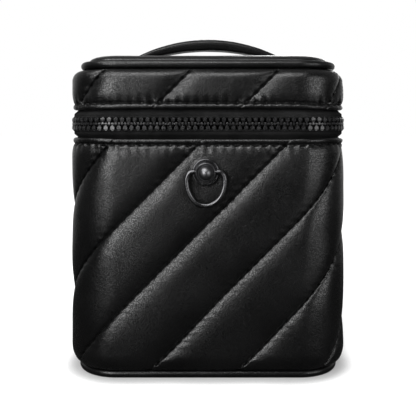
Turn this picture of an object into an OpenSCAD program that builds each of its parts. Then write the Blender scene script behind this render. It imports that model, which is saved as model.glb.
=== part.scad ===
// Small upright jewellery case in quilted leather. A zip runs round the front and sides, the lid
// is hinged along the back, a padded handle stands on the lid and a stud with a drop ring is on
// the front. Millimetres. The origin is the middle of the underside, +Z is up, the front faces -Y.

/* [Case] */
// outside width across the padded walls
case_width = 123; // [116:1:130]
// outside depth across the padded walls, front to back
case_depth = 86; // [82:1:94]
// radius of the upright corners at the padded face
corner_radius = 22; // [20:0.5:24]
// height of the tub's folded top edge
tub_height = 103.1; // [96.1:1:110.1]
// height of the gap between the two folded edges, which the zip fills
zip_gap = 12.6; // [12.6:0.1:13.2]
// height of the lid's wall from its folded edge to its top seam
lid_wall_height = 17.4; // [16.4:0.2:20.4]
// rise of the padded top above the lid's top seam
crown_rise = 7.2; // [6.6:0.1:8]

/* [Leather and boards] */
// how far a quilting seam is drawn in from the padded face
quilt_depth = 1.9; // [1.2:0.1:2.2]
// number of padded channels round the case
channels = 10; // [8:1:12]
// where a quilting seam crosses floor level, from the middle of the front
seam_start = 9.3; // [0:0.1:18]
// thickness of a padded wall, leather and foam together
wall_thickness = 6; // [5.6:0.1:6.4]
// diameter of the piping at the base and the lid
piping_diameter = 3.6; // [3.2:0.1:3.8]
// thickness of the boards that stiffen the walls
board_thickness = 2; // [1.6:0.1:2.4]
// thickness of the fabric lining
lining_thickness = 1; // [0.8:0.1:1.2]

/* [Zip] */
// distance from tooth to tooth along one row
tooth_pitch = 2.7; // [2.6:0.05:2.8]
// width of a tooth's head along the row
head_width = 1.2; // [1.1:0.05:1.2]
// thickness of the teeth, outside to inside
tooth_thickness = 2.6; // [2.4:0.1:2.6]
// width of the two closed rows together
chain_width = 5.7; // [5.6:0.05:5.8]
// thickness of the woven tape
tape_thickness = 0.6; // [0.5:0.05:0.7]
// half the width of the leather hinge at the back
hinge_half = 18; // [14:0.5:18]
// length of the slider
slider_length = 11.5; // [11:0.1:11.5]
// length of the slider's puller
puller_length = 25; // [20:1:30]

/* [Handle] */
// half the distance between the handle's two slits
handle_half_span = 33; // [30:0.5:35]
// height of the handle's top over the padded top
handle_rise = 9.7; // [9.2:0.1:12]
// thickness of the handle's strap at its top
handle_thickness = 4.8; // [4.2:0.1:4.8]
// width of the strap
handle_width = 12; // [10:0.5:14]

/* [Stud and drop ring] */
// sideways place of the stud
stud_x = -1; // [-2:0.5:2]
// distance of the stud's middle below the tub's folded edge
stud_drop = 14.1; // [13.1:0.5:20.1]
// diameter of the stud's base disc
stud_disc = 10.9; // [10.5:0.1:12]
// diameter of the stud's collar
stud_collar_diameter = 8.8; // [8.6:0.1:9]
// diameter of the polished ball
ball_diameter = 6.2; // [5.8:0.1:6.6]
// outside width of the drop ring
ring_width = 18; // [17.6:0.1:19]
// diameter of the drop ring's wire
wire_diameter = 2.2; // [1.9:0.1:2.3]

/* [Tray] */
// height of the lift-out tray
tray_height = 23; // [20:1:24]
// thickness of the tray's walls
tray_wall = 1.8; // [1.6:0.1:2.2]
// number of ring rolls
ring_rolls_count = 5; // [4:1:5]

/* [View] */
// the sub-part to draw

/* [Hidden] */
$fn = 72;
glue = 0.1;
soft_gap = 0.2;

// corner centres, and the unrolled length round the padded wall
corner_x = case_width / 2 - corner_radius;
corner_y = case_depth / 2 - corner_radius;
mean_radius = corner_radius - 0.4 * quilt_depth;
quarter = mean_radius * PI / 2;
around = 4 * (corner_x + corner_y + quarter);
turn = 180 / PI / mean_radius;
channel_pitch = around / channels;
columns = channels * 10;

// heights
piping_radius = piping_diameter / 2;
wall_foot = piping_diameter + 0.3;
zip_middle = tub_height + zip_gap / 2;
lid_edge = tub_height + zip_gap;
lid_seam = lid_edge + lid_wall_height;
lid_piping_z = lid_seam + piping_radius + 0.3;
crown = lid_seam + crown_rise;
handle_top = crown + handle_rise;
fold_height = 2.6;
step_height = 3.4;

// distances in from the padded face
board_out = wall_thickness + soft_gap;
board_in = board_out + board_thickness;
lining_out = board_in + glue;
lining_in = lining_out + lining_thickness;
base_piping_in = 5.3;
lid_piping_in = 5.65;
base_in = base_piping_in + piping_radius + glue;
lid_board_in = lid_piping_in + piping_radius + glue;
tray_out = lining_in + 0.8;
ledge_in = lining_in + 2.6;
ledge_thickness = 3.2;
lid_board_thickness = 2.2;

// zip: the rows stand on the padded face's line
teeth_out = -0.1;
teeth_in = teeth_out + tooth_thickness;
tape_out = (teeth_out + teeth_in - tape_thickness) / 2;
row_radius = corner_radius - (teeth_out + teeth_in) / 2;
tape_back = 2.9;
tape_knee = zip_gap / 2 - 1.6;
tape_foot = 3.2;
head_tip = 0.9;
end_radius = 8.1;
end_top = 5.25;
row_quarter = row_radius * PI / 2;
row_half = 2 * (corner_x + corner_y + row_quarter);
slider_start = hinge_half + 2.1;
rows_start = slider_start + slider_length - 2.2;
rows_end = hinge_half + 3.4;
plate_thickness = 0.9;
plate_gap = 0.15;
bar_out = 3.2;
hinge_leather = 1.2;

// lid and handle
rivet_hole = 1.25;
rivet_head = 2.2;
foot_thickness = 1.5;
foot_length = 8;
leg_thickness = 3.4;
handle_foot_z = lid_seam + lid_board_thickness + soft_gap;
handle_radius_out = 75;
handle_gap_top = handle_top - handle_thickness;
handle_gap_half = handle_half_span - 2.6;
handle_gap_drop = handle_gap_top - crown - soft_gap;
handle_radius_in = (pow(handle_gap_half, 2) + pow(handle_gap_drop, 2)) / (2 * handle_gap_drop);

// stud
stud_z = tub_height - stud_drop;
face_y = -case_depth / 2;
disc_back = face_y - 0.1;
disc_thickness = 1.3;
collar_back = disc_back - disc_thickness - 0.05;
collar_thickness = 3.2;
collar_front = collar_back - collar_thickness;
pivot_y = collar_back - collar_thickness / 2;
pivot_z = stud_z + 0.2;
collar_radius = stud_collar_diameter / 2;
ring_radius = (ring_width - wire_diameter) / 2;
ring_drop = sqrt(pow(ring_radius, 2) - pow(collar_radius - 0.06, 2));
ring_end_x = collar_radius + 1.2;
ring_end_angle = acos(ring_end_x / ring_radius);
pin_radius = 0.7;
pin_clearance = 0.05;

// tray
tray_foot = zip_middle - 3.4 - tray_height;
tray_top = tray_foot + tray_height;
tray_floor = 1.6;
divider_x = 5;
divider_y = 3;
divider_thickness = 1.6;

// ---- shared shapes ----

// the case's rounded outline, drawn in by a distance from the padded face
module outline(inset) {
  radius = corner_radius - inset;
  square([2 * corner_x, 2 * (corner_y + radius)], center = true);
  square([2 * (corner_x + radius), 2 * corner_y], center = true);
  for (sx = [-1, 1]) {
    for (sy = [-1, 1]) {
      translate([sx * corner_x, sy * corner_y]) circle(r = radius);
    }
  }
}

module slab(inset, low, high) {
  translate([0, 0, low]) linear_extrude(high - low) outline(inset);
}

module band(outer, inner, low, high) {
  translate([0, 0, low]) linear_extrude(high - low) difference() {
    outline(outer);
    outline(inner);
  }
}

// carries a profile, drawn as distance out from the corner centre and height, round the case
module round_the_case() {
  corners = [
    [corner_x, corner_y, 2 * corner_y],
    [-corner_x, corner_y, 2 * corner_x],
    [-corner_x, -corner_y, 2 * corner_y],
    [corner_x, -corner_y, 2 * corner_x]
  ];
  for (side = [0 : 3]) {
    translate([corners[side][0], corners[side][1], 0]) rotate([0, 0, 90 * side]) {
      rotate([90, 0, 0]) linear_extrude(corners[side][2]) children();
      rotate_extrude(angle = 90) children();
    }
  }
}

// a point on the case's outline at an unrolled distance from the middle of the front
function half_outline(w, r) =
  w < corner_x ? [w, -corner_y - r]
  : w < corner_x + quarter
    ? [corner_x + r * sin((w - corner_x) * turn), -corner_y - r * cos((w - corner_x) * turn)]
  : w < corner_x + quarter + 2 * corner_y ? [corner_x + r, w - corner_x - quarter - corner_y]
  : w < corner_x + 2 * quarter + 2 * corner_y
    ? let (a = (w - corner_x - quarter - 2 * corner_y) * turn)
      [corner_x + r * cos(a), corner_y + r * sin(a)]
  : [around / 2 - w, corner_y + r];

function outline_point(u, inset, z) =
  let (
    w = u - around * floor(u / around),
    r = corner_radius - inset,
    p = w < around / 2 ? half_outline(w, r) : -half_outline(w - around / 2, r)
  )
  [p[0], p[1], z];

// 1 along the middle of a channel, 0 on a quilting seam
function pillow(s) =
  let (f = (s - seam_start) / channel_pitch - floor((s - seam_start) / channel_pitch))
  pow(max(0, 1 - pow(abs(2 * f - 1), 2.4)), 0.8);

function column(i) = seam_start + i * around / columns;

// one ring of a quilted wall: its grid leans with the seams, one across for one up
function wall_ring(z, inset, depth) =
  [for (i = [0 : columns - 1])
    outline_point(column(i) + z, inset + depth * (1 - pillow(column(i))), z)];

function ring_faces(a, b, shift) =
  [for (i = [0 : columns - 1])
    let (
      j = (i + 1) % columns,
      bi = (i + shift + columns) % columns,
      bj = (j + shift + columns) % columns
    )
    each [
      [a * columns + i, b * columns + bi, a * columns + j],
      [a * columns + j, b * columns + bi, b * columns + bj]
    ]];

// levels run up the outside, over the top and down the inside; the last pair is the upright inside
module quilted_wall(levels, shift) {
  count = len(levels);
  rings = [for (l = levels) wall_ring(l[0], l[1], l[2] * quilt_depth)];
  points = [for (r = rings) each r];
  faces = [for (k = [0 : count - 1])
    each ring_faces(k, (k + 1) % count, k == count - 2 ? shift : 0)];
  polyhedron(points = points, faces = faces, convexity = 6);
}

// one tooth, drawn as distance along its row and height over the row's outer edge
module tooth_profile() {
  clamp = 0.95;
  neck = 0.45;
  head = head_width / 2;
  tip = chain_width / 2 + head_tip;
  polygon([
    [-clamp, 0.05], [clamp, 0.05], [clamp, 1.35], [neck, 1.35], [neck, tip - 1.75], [head, tip - 1.75],
    [head, tip - 0.3], [head - 0.25, tip], [-head + 0.25, tip], [-head, tip - 0.3],
    [-head, tip - 1.75], [-neck, tip - 1.75], [-neck, 1.35], [-clamp, 1.35]
  ]);
}

// stands a child that faces the front at a distance along the row, from the middle of the front
module along_row(u) {
  w = abs(u);
  side = u < 0 ? -1 : 1;
  first = corner_x + row_quarter;
  second = first + 2 * corner_y;
  third = second + row_quarter;
  turned = 180 / PI / row_radius;
  if (w < corner_x) {
    translate([u, -corner_y, 0]) children();
  } else if (w < first) {
    translate([side * corner_x, -corner_y, 0]) rotate([0, 0, side * (w - corner_x) * turned]) children();
  } else if (w < second) {
    translate([side * corner_x, w - first - corner_y, 0]) rotate([0, 0, side * 90]) children();
  } else if (w < third) {
    translate([side * corner_x, corner_y, 0]) rotate([0, 0, side * (90 + (w - second) * turned)])
      children();
  } else {
    translate([side * (row_half - w), corner_y, 0]) rotate([0, 0, 180]) children();
  }
}

module lower_tooth(u) {
  along_row(u) translate([0, -corner_radius + teeth_in, zip_middle - chain_width / 2])
    rotate([90, 0, 0]) linear_extrude(tooth_thickness) tooth_profile();
}

module upper_tooth(u) {
  along_row(u) translate([0, -corner_radius + teeth_in, zip_middle + chain_width / 2])
    mirror([0, 0, 1]) rotate([90, 0, 0]) linear_extrude(tooth_thickness) tooth_profile();
}

// how far forward of the hinge's axis a place on the row is
function from_axis(u) =
  let (
    w = abs(u),
    first = corner_x + row_quarter,
    second = first + 2 * corner_y,
    a = (w - second) * 180 / PI / row_radius,
    y = w < first ? 0 : w < second ? w - first - corner_y
      : corner_y + row_radius * min(1, sin(min(90, a)))
  )
  case_depth / 2 - y;

right_count = floor((row_half - rows_start - 1) / tooth_pitch);
left_count = floor((row_half - rows_end - 1) / tooth_pitch);
lower_row = [for (k = [-left_count : right_count]) k * tooth_pitch];
upper_row = [for (k = [-left_count : right_count - 1]) (k + 0.5) * tooth_pitch];

// tape profile below the rows, as distance out from the corner centre and height
module tape_profile() {
  r = corner_radius;
  back = tape_back;
  front = tape_out;
  t = tape_thickness;
  edge = zip_gap / 2 - tape_knee;
  polygon([
    [r - back, -tape_foot], [r - back, -0.2], [r - front, edge], [r - front, zip_gap / 2 - chain_width / 2],
    [r - front - t, zip_gap / 2 - chain_width / 2], [r - front - t, edge + 0.2],
    [r - back - t, 0], [r - back - t, -tape_foot]
  ]);
}

module lower_tape() {
  round_the_case() translate([0, tub_height]) tape_profile();
}

module upper_tape() {
  round_the_case() translate([0, lid_edge]) mirror([0, 1]) tape_profile();
}

// the room round the hinge's axis that the lid's zip stays out of
module end_room(radius, top) {
  intersection() {
    translate([0, case_depth / 2, zip_middle]) rotate([0, 90, 0])
      cylinder(r = radius, h = 2 * case_width, center = true);
    translate([-case_width, case_depth / 2 - 3 * radius, zip_middle - 3 * radius])
      cube([2 * case_width, 6 * radius, 3 * radius + top]);
  }
}

module hinge_room(extra) {
  translate([-hinge_half - extra, case_depth / 2 - 12, tub_height - 6])
    cube([2 * (hinge_half + extra), 24, zip_gap + 12]);
}

// ---- base and tub ----

module base_cover() {
  color("#1c1c1e") slab(base_in, 0, 1);
}

module base_board() {
  color("#8a7a62") slab(base_in, 1 + glue, wall_foot - 0.2);
}

module base_piping() {
  color("#202022") round_the_case()
    translate([corner_radius - base_piping_in, piping_radius]) circle(r = piping_radius, $fn = 32);
}

tub_levels = concat(
  [
    [wall_foot, 4.6, 0], [wall_foot + 0.5, 4.2, 0.15], [wall_foot + 2, 3.5, 0.4],
    [wall_foot + 4, 2.6, 0.65], [wall_foot + 6.5, 1.6, 0.85], [wall_foot + 9.5, 0.85, 1],
    [wall_foot + 14, 0.35, 1], [wall_foot + 20, 0.1, 1]
  ],
  [for (k = [1 : 9]) [wall_foot + 20 + k * (tub_height - 29 - wall_foot) / 9, 0, 1]],
  [
    [tub_height - 6, 0.1, 0.9], [tub_height - 4, 0.35, 0.6],
    [tub_height - 3.1, 0.6, 0.3], [tub_height - fold_height, 0.95, 0],
    [tub_height - 2, 0.6, 0], [tub_height - 0.5, 0.45, 0], [tub_height, 0.8, 0],
    [tub_height, 2.3, 0], [tub_height - 0.4, 2.6, 0], [tub_height - step_height, 2.7, 0],
    [tub_height - step_height - 0.1, wall_thickness, 0],
    [wall_foot, wall_thickness, 0]
  ]
);
tub_shift = round((tub_height - step_height - 0.1 - wall_foot) * columns / around);

module tub_wall() {
  color("#242427") difference() {
    quilted_wall(tub_levels, tub_shift);
    translate([stud_x, face_y + wall_thickness + 1, stud_z]) rotate([90, 0, 0])
      cylinder(r = rivet_hole, h = wall_thickness + 3);
  }
}

module tub_board() {
  color("#8a7a62") difference() {
    band(board_out, board_in, wall_foot, zip_middle - 1.6);
    translate([stud_x, face_y + board_in + 1, stud_z]) rotate([90, 0, 0])
      cylinder(r = rivet_hole, h = board_thickness + 2);
    translate([stud_x, face_y + board_in + 1, stud_z]) rotate([90, 0, 0]) cylinder(r = 4.6, h = 2);
  }
}

module tub_lining() {
  color("#3a3634") {
    band(lining_out, lining_in, wall_foot + 1.6, zip_middle - 1.5);
    band(board_out, lining_in, zip_middle - 1.5, zip_middle - 0.5);
  }
}

module floor_pad() {
  color("#3a3634") slab(lining_out, wall_foot - 0.1, wall_foot + 1.5);
}

module tray_ledge() {
  color("#3a3634") band(lining_in + glue, ledge_in, tray_foot - ledge_thickness, tray_foot - glue);
}

// ---- zip ----

module zip_tape_lower() {
  color("#161618") difference() {
    lower_tape();
    hinge_room(glue);
  }
}

module zip_teeth_lower() {
  color("#101012") for (u = lower_row) {
    lower_tooth(u);
  }
}

module zip_tape_ends() {
  color("#161618") difference() {
    intersection() {
      upper_tape();
      end_room(end_radius - 0.1, end_top - 0.15);
    }
    hinge_room(glue);
  }
}

module zip_teeth_ends() {
  color("#101012") for (u = upper_row) {
    if (from_axis(u) < end_radius - 0.25) upper_tooth(u);
  }
}

module zip_stops() {
  height = chain_width + 1.6;
  half = zip_gap / 2 - chain_width / 2;
  color("#2a2a2c") for (side = [[1, hinge_half + 0.3], [-1, hinge_half + 0.9]]) {
    translate([side[0] * (side[1] + 0.75), case_depth / 2 - (teeth_out + teeth_in) / 2, zip_middle])
      difference() {
        cube([1.5, tooth_thickness, height], center = true);
        for (way = [-1, 1]) {
          translate([0, 0, way * (chain_width / 2 + half / 2)])
            cube([2, tape_thickness + 0.3, half + 0.2], center = true);
        }
      }
  }
}

module hinge_profile() {
  polygon([
    [-tape_back, -tape_foot], [-tape_back, -0.2], [0, 2.6], [0, zip_gap / 2 - 0.05],
    [-hinge_leather, zip_gap / 2 - 0.05], [-hinge_leather, 2.9],
    [-tape_back - 0.9, 0], [-tape_back - 0.9, -tape_foot]
  ]);
}

module hinge_lower() {
  color("#222225") translate([-hinge_half, case_depth / 2, tub_height]) rotate([90, 0, 90])
    linear_extrude(2 * hinge_half) hinge_profile();
}

module hinge_upper() {
  color("#222225") translate([-hinge_half, case_depth / 2, lid_edge]) mirror([0, 0, 1])
    rotate([90, 0, 90]) linear_extrude(2 * hinge_half) hinge_profile();
}

// the slider's plate, drawn along the zip from its wide mouth and across it
module slider_plate(grow) {
  wide = 4.6 + grow;
  slim = 4.15 + grow;
  polygon([
    [0.8, -wide], [4.4, -wide], [7.2, -slim], [slider_length - 0.8, -slim], [slider_length, -slim + 0.8],
    [slider_length, slim - 0.8], [slider_length - 0.8, slim], [7.2, slim], [4.4, wide], [0.8, wide],
    [0, wide - 0.8], [0, -wide + 0.8]
  ]);
}

module slider_flanges() {
  difference() {
    slider_plate(0);
    translate([-1, 0]) polygon([
      [0, -3.7], [5.4, -3.7], [8.2, -3.25], [slider_length + 2, -3.25],
      [slider_length + 2, 3.25], [8.2, 3.25], [5.4, 3.7], [0, 3.7]
    ]);
  }
}

// lays a flat drawing against the back of the case: its z runs out from the padded face
module on_back(out) {
  translate([slider_start, case_depth / 2 + out, zip_middle]) rotate([-90, 0, 0]) children();
}

module zip_slider() {
  outer = -teeth_out + plate_gap;
  inner = -teeth_in - plate_gap;
  lip = 0.4;
  color("#303034") {
    on_back(outer) linear_extrude(plate_thickness) slider_plate(0);
    on_back(inner - plate_thickness) linear_extrude(plate_thickness) slider_plate(0);
    on_back(-tape_out + lip) linear_extrude(outer + tape_out - lip) slider_flanges();
    on_back(inner) linear_extrude(-tape_out - tape_thickness - lip - inner) slider_flanges();
    on_back(inner) linear_extrude(outer - inner)
      polygon([[0.2, -1], [0.2, 1], [1.2, 0.8], [2.3, 0], [1.2, -0.8]]);
    for (post = [1.6, 7.6]) {
      translate([slider_start + post, case_depth / 2 + outer + plate_thickness - 0.2, zip_middle - 1])
        cube([1.2, bar_out - outer - plate_thickness + 0.9, 2]);
    }
    translate([slider_start + 2, case_depth / 2 + bar_out, zip_middle]) rotate([0, 90, 0])
      cylinder(r = 0.75, h = 6.4, $fn = 32);
  }
}

module zip_puller() {
  middle = slider_start + 5.2;
  color("#303034") translate([middle, case_depth / 2 + bar_out, zip_middle]) difference() {
    union() {
      rotate([0, 90, 0]) cylinder(r = 1.55, h = 3.9, center = true, $fn = 32);
      translate([0, 0.7, 0]) rotate([90, 0, 0]) linear_extrude(1.4) {
        polygon([
          [-1.8, 0], [1.8, 0], [1.8, -3.2], [3.6, -6.5], [3.6, -puller_length + 4.8],
          [-3.6, -puller_length + 4.8], [-3.6, -6.5], [-1.8, -3.2]
        ]);
        translate([0, -puller_length + 4.8]) circle(r = 3.6);
      }
    }
    rotate([0, 90, 0]) cylinder(r = 0.8, h = 5, center = true, $fn = 32);
    translate([0, 2, -puller_length + 4.8]) rotate([90, 0, 0]) cylinder(r = 1.5, h = 4, $fn = 32);
  }
}

// ---- stud and drop ring ----

module stud_disc_plate() {
  color("#3a3a3e") translate([stud_x, disc_back, stud_z]) rotate([90, 0, 0]) difference() {
    union() {
      cylinder(d = stud_disc, h = disc_thickness - 0.5);
      translate([0, 0, disc_thickness - 0.5]) cylinder(d1 = stud_disc, d2 = stud_disc - 1.2, h = 0.5);
    }
    translate([0, 0, -1]) cylinder(r = rivet_hole, h = disc_thickness + 2, $fn = 32);
  }
}

module stud_collar() {
  color("#3a3a3e") translate([stud_x, collar_back, stud_z]) rotate([90, 0, 0]) difference() {
    union() {
      cylinder(r = collar_radius, h = collar_thickness - 0.5);
      translate([0, 0, collar_thickness - 0.5])
        cylinder(r1 = collar_radius, r2 = collar_radius - 0.5, h = 0.5);
    }
    translate([0, 0, -1]) cylinder(r = rivet_hole, h = 2.4, $fn = 32);
    for (side = [-1, 1]) {
      translate([side * (collar_radius - 0.7), pivot_z - stud_z, collar_thickness / 2])
        rotate([0, 90, 0]) cylinder(r = pin_radius + pin_clearance, h = 1.5, center = true, $fn = 32);
    }
  }
}

module stud_ball() {
  depth = 1.2;
  radius = ball_diameter / 2;
  color("#55555a") translate([stud_x, collar_front - 0.05, stud_z]) rotate([90, 0, 0])
    rotate_extrude() intersection() {
      translate([0, radius - depth + 0.05]) circle(r = radius);
      square([2 * radius, 3 * radius]);
    }
}

module stud_screw() {
  length = board_in + disc_thickness + 1.3;
  color("#77777c") translate([stud_x, face_y + board_in - 0.05, stud_z]) rotate([90, 0, 0]) {
    cylinder(r = rivet_head, h = 0.45, $fn = 32);
    cylinder(r = rivet_hole - 0.05, h = length, $fn = 32);
  }
}

module stud_washer() {
  color("#77777c") translate([stud_x, face_y + board_in - 0.55, stud_z]) rotate([90, 0, 0])
    difference() {
      cylinder(r = 4.3, h = 0.4);
      translate([0, 0, -1]) cylinder(r = rivet_hole, h = 3, $fn = 32);
    }
}

module drop_ring() {
  color("#3a3a3e") translate([stud_x, pivot_y, pivot_z]) {
    translate([0, 0, -ring_drop]) rotate([90, 0, 0]) rotate([0, 0, 180 - ring_end_angle])
      rotate_extrude(angle = 180 + 2 * ring_end_angle) translate([ring_radius, 0])
        circle(d = wire_diameter, $fn = 32);
    for (side = [-1, 1]) {
      translate([side * (collar_radius + 1.3), 0, 0]) rotate([0, 90, 0])
        cylinder(r = 1.35, h = 2.2, center = true, $fn = 32);
      translate([side * (collar_radius + 0.2), 0, 0]) rotate([0, 90, 0])
        cylinder(r = pin_radius, h = 2.4, center = true, $fn = 32);
    }
  }
}

// ---- lid ----

lid_levels = [
  [lid_edge + step_height, 2.7, 0], [lid_edge + 0.4, 2.6, 0], [lid_edge, 2.3, 0],
  [lid_edge, 0.8, 0], [lid_edge + 0.5, 0.45, 0], [lid_edge + 2, 0.6, 0],
  [lid_edge + fold_height, 0.95, 0], [lid_edge + 3.2, 0.6, 0.3], [lid_edge + 4.4, 0.3, 0.7],
  [lid_edge + 7, 0.1, 1], [lid_seam - 7.4, 0, 1], [lid_seam - 4.8, 0.1, 1],
  [lid_seam - 2.8, 0.6, 0.9], [lid_seam - 1.2, 1.9, 0.6], [lid_seam - 0.4, 3.2, 0.3],
  [lid_seam, 4.4, 0], [lid_seam, wall_thickness, 0],
  [lid_edge + step_height + 0.1, wall_thickness, 0]
];
lid_shift = round((lid_wall_height - step_height - 0.1) * columns / around);

module lid_wall() {
  color("#242427") quilted_wall(lid_levels, lid_shift);
}

module lid_edge_board() {
  color("#8a7a62") band(board_out, board_in, zip_middle + 1.6, lid_seam - glue);
}

module lid_board() {
  color("#8a7a62") difference() {
    slab(lid_board_in, lid_seam, lid_seam + lid_board_thickness);
    rivet_holes();
  }
}

// the padded top: rings of points from its edge to its flat middle
panel_levels = [
  [lid_board_in, lid_seam + lid_board_thickness + glue], [lid_board_in, crown - 3.6],
  [lid_board_in + 0.9, crown - 2.4], [lid_board_in + 2.6, crown - 1.4],
  [lid_board_in + 6, crown - 0.6], [lid_board_in + 10, crown - 0.2], [corner_radius - 2, crown]
];

module lid_top_panel() {
  count = len(panel_levels);
  last = (count - 1) * columns;
  under = count * columns;
  points = concat(
    [for (l = panel_levels) each
      [for (i = [0 : columns - 1]) outline_point((i + 0.5) * around / columns, l[0], l[1])]],
    [[0, 0, panel_levels[0][1]], [0, 0, crown]]
  );
  faces = concat(
    [for (k = [0 : count - 2]) each ring_faces(k, k + 1, 0)],
    [for (i = [0 : columns - 1]) [i, (i + 1) % columns, under]],
    [for (i = [0 : columns - 1]) [last + (i + 1) % columns, last + i, under + 1]]
  );
  color("#242427") difference() {
    polyhedron(points = points, faces = faces, convexity = 4);
    for (side = [-1, 1]) {
      translate([side * handle_half_span, 0, crown])
        cube([leg_thickness + 0.4, handle_width + 0.4, 20], center = true);
      translate([side * (handle_half_span + foot_length / 2), 0, handle_foot_z])
        cube([foot_length + leg_thickness + 0.6, handle_width + 0.4, 4.9], center = true);
    }
  }
}

module lid_piping() {
  color("#202022") round_the_case()
    translate([corner_radius - lid_piping_in, lid_piping_z]) circle(r = piping_radius, $fn = 32);
}

module lid_lining() {
  color("#3a3634") {
    band(lining_out, lining_in, zip_middle + 1.5, lid_seam - 2);
    band(board_out, lining_in, zip_middle + 0.5, zip_middle + 1.5);
  }
}

module lid_top_lining() {
  color("#3a3634") slab(lining_out, lid_seam - 1.9, lid_seam - 0.7);
}

module zip_tape_upper() {
  color("#161618") difference() {
    upper_tape();
    end_room(end_radius + 0.1, end_top + 0.15);
    hinge_room(glue);
  }
}

module zip_teeth_upper() {
  color("#101012") for (u = upper_row) {
    if (from_axis(u) >= end_radius - 0.25) upper_tooth(u);
  }
}

// ---- handle ----

rivet_x = handle_half_span + leg_thickness / 2 + foot_length - 3.2;

module rivet_holes() {
  for (side = [-1, 1]) {
    translate([side * rivet_x, 0, lid_seam - 5]) cylinder(r = rivet_hole, h = 20, $fn = 32);
  }
}

module handle_profile() {
  half = handle_half_span + leg_thickness / 2;
  difference() {
    intersection() {
      translate([0, handle_top - handle_radius_out]) circle(r = handle_radius_out, $fn = 200);
      translate([-half, handle_foot_z]) square([2 * half, 40]);
    }
    intersection() {
      translate([0, handle_gap_top - handle_radius_in]) circle(r = handle_radius_in, $fn = 200);
      translate([-half + leg_thickness, handle_foot_z - 10]) square([2 * (half - leg_thickness), 60]);
    }
  }
  for (side = [-1, 1]) {
    translate([side * (half + foot_length / 2 - 0.5), handle_foot_z + foot_thickness / 2])
      square([foot_length + 1, foot_thickness], center = true);
  }
}

module handle() {
  color("#262629") difference() {
    translate([0, handle_width / 2, 0]) rotate([90, 0, 0]) linear_extrude(handle_width) handle_profile();
    rivet_holes();
  }
}

module handle_rivets() {
  color("#77777c") for (side = [-1, 1]) {
    translate([side * rivet_x, 0, lid_seam - 0.65]) {
      cylinder(r = rivet_head, h = 0.6, $fn = 32);
      cylinder(r = rivet_hole - 0.05, h = handle_foot_z + foot_thickness - lid_seam + 1, $fn = 32);
      translate([0, 0, handle_foot_z + foot_thickness - lid_seam + 0.7])
        cylinder(r = rivet_head + 0.2, h = 0.6, $fn = 32);
    }
  }
}

// ---- lift-out tray ----

module tray_shell() {
  color("#45403d") difference() {
    slab(tray_out, tray_foot, tray_top);
    difference() {
      slab(tray_out + tray_wall, tray_foot + tray_floor, tray_top + 1);
      translate([divider_x, -case_depth / 2, 0])
        cube([divider_thickness, case_depth, tray_top - 1.5]);
      translate([divider_x, divider_y, 0]) cube([case_width, divider_thickness, tray_top - 1.5]);
    }
  }
}

module ring_rolls() {
  inset = tray_out + tray_wall + 0.3;
  depth = 2 * (corner_y + corner_radius - inset);
  pitch = depth / ring_rolls_count;
  radius = (pitch - 0.6) / 2;
  low = tray_foot + tray_floor + 0.05;
  color("#4a4542") intersection() {
    slab(inset, low - 1, tray_top);
    for (k = [0 : ring_rolls_count - 1]) {
      translate([-case_width / 2, -depth / 2 + (k + 0.5) * pitch, low]) rotate([90, 0, 90])
        linear_extrude(case_width / 2 + divider_x - 0.3) {
          translate([-radius, 0]) square([2 * radius, tray_height - tray_floor - 3 - radius]);
          translate([0, tray_height - tray_floor - 3 - radius]) circle(r = radius, $fn = 40);
        }
    }
  }
}

base_cover();
base_board();
base_piping();
tub_wall();
tub_board();
tub_lining();
floor_pad();
tray_ledge();
zip_tape_lower();
zip_teeth_lower();
zip_tape_ends();
zip_teeth_ends();
zip_stops();
hinge_lower();
stud_disc_plate();
stud_collar();
stud_ball();
stud_screw();
stud_washer();
lid_wall();
lid_edge_board();
lid_board();
lid_top_panel();
lid_piping();
lid_lining();
lid_top_lining();
zip_tape_upper();
zip_teeth_upper();
hinge_upper();
handle();
handle_rivets();
zip_slider();
zip_puller();
drop_ring();
tray_shell();
ring_rolls();
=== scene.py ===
import math

import bmesh
import bpy
import numpy as np
from mathutils import Matrix, Vector, noise


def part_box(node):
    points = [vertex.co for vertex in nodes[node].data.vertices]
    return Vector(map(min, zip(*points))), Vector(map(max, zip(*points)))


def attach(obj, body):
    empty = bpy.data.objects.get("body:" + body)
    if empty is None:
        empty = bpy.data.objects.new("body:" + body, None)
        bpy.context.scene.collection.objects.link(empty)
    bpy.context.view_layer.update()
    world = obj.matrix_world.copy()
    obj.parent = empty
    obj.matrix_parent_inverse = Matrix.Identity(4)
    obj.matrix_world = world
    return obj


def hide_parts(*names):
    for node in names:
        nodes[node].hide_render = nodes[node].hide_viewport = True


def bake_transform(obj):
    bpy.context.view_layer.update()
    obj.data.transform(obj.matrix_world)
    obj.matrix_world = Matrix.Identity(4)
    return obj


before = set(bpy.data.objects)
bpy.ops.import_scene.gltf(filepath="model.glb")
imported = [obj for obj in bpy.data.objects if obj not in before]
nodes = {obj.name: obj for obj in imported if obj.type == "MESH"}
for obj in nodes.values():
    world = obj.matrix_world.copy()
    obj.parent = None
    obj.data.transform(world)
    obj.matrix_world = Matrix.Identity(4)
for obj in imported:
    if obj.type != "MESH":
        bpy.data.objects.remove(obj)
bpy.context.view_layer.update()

mm = 0.001

# the case's main sizes, in millimetres, read off the frame
tubLow, tubHigh = (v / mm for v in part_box("tub_wall"))
lidLow, lidHigh = (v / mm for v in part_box("lid_wall"))
cornerRadius = 22
halfWidth, halfDepth = tubHigh.x, tubHigh.y
cornerX, cornerY = halfWidth - cornerRadius, halfDepth - cornerRadius
tubFoot, tubTop = tubLow.z, tubHigh.z
lidFoot, lidTop = lidLow.z, lidHigh.z
zipMiddle = (tubTop + lidFoot) / 2

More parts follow.
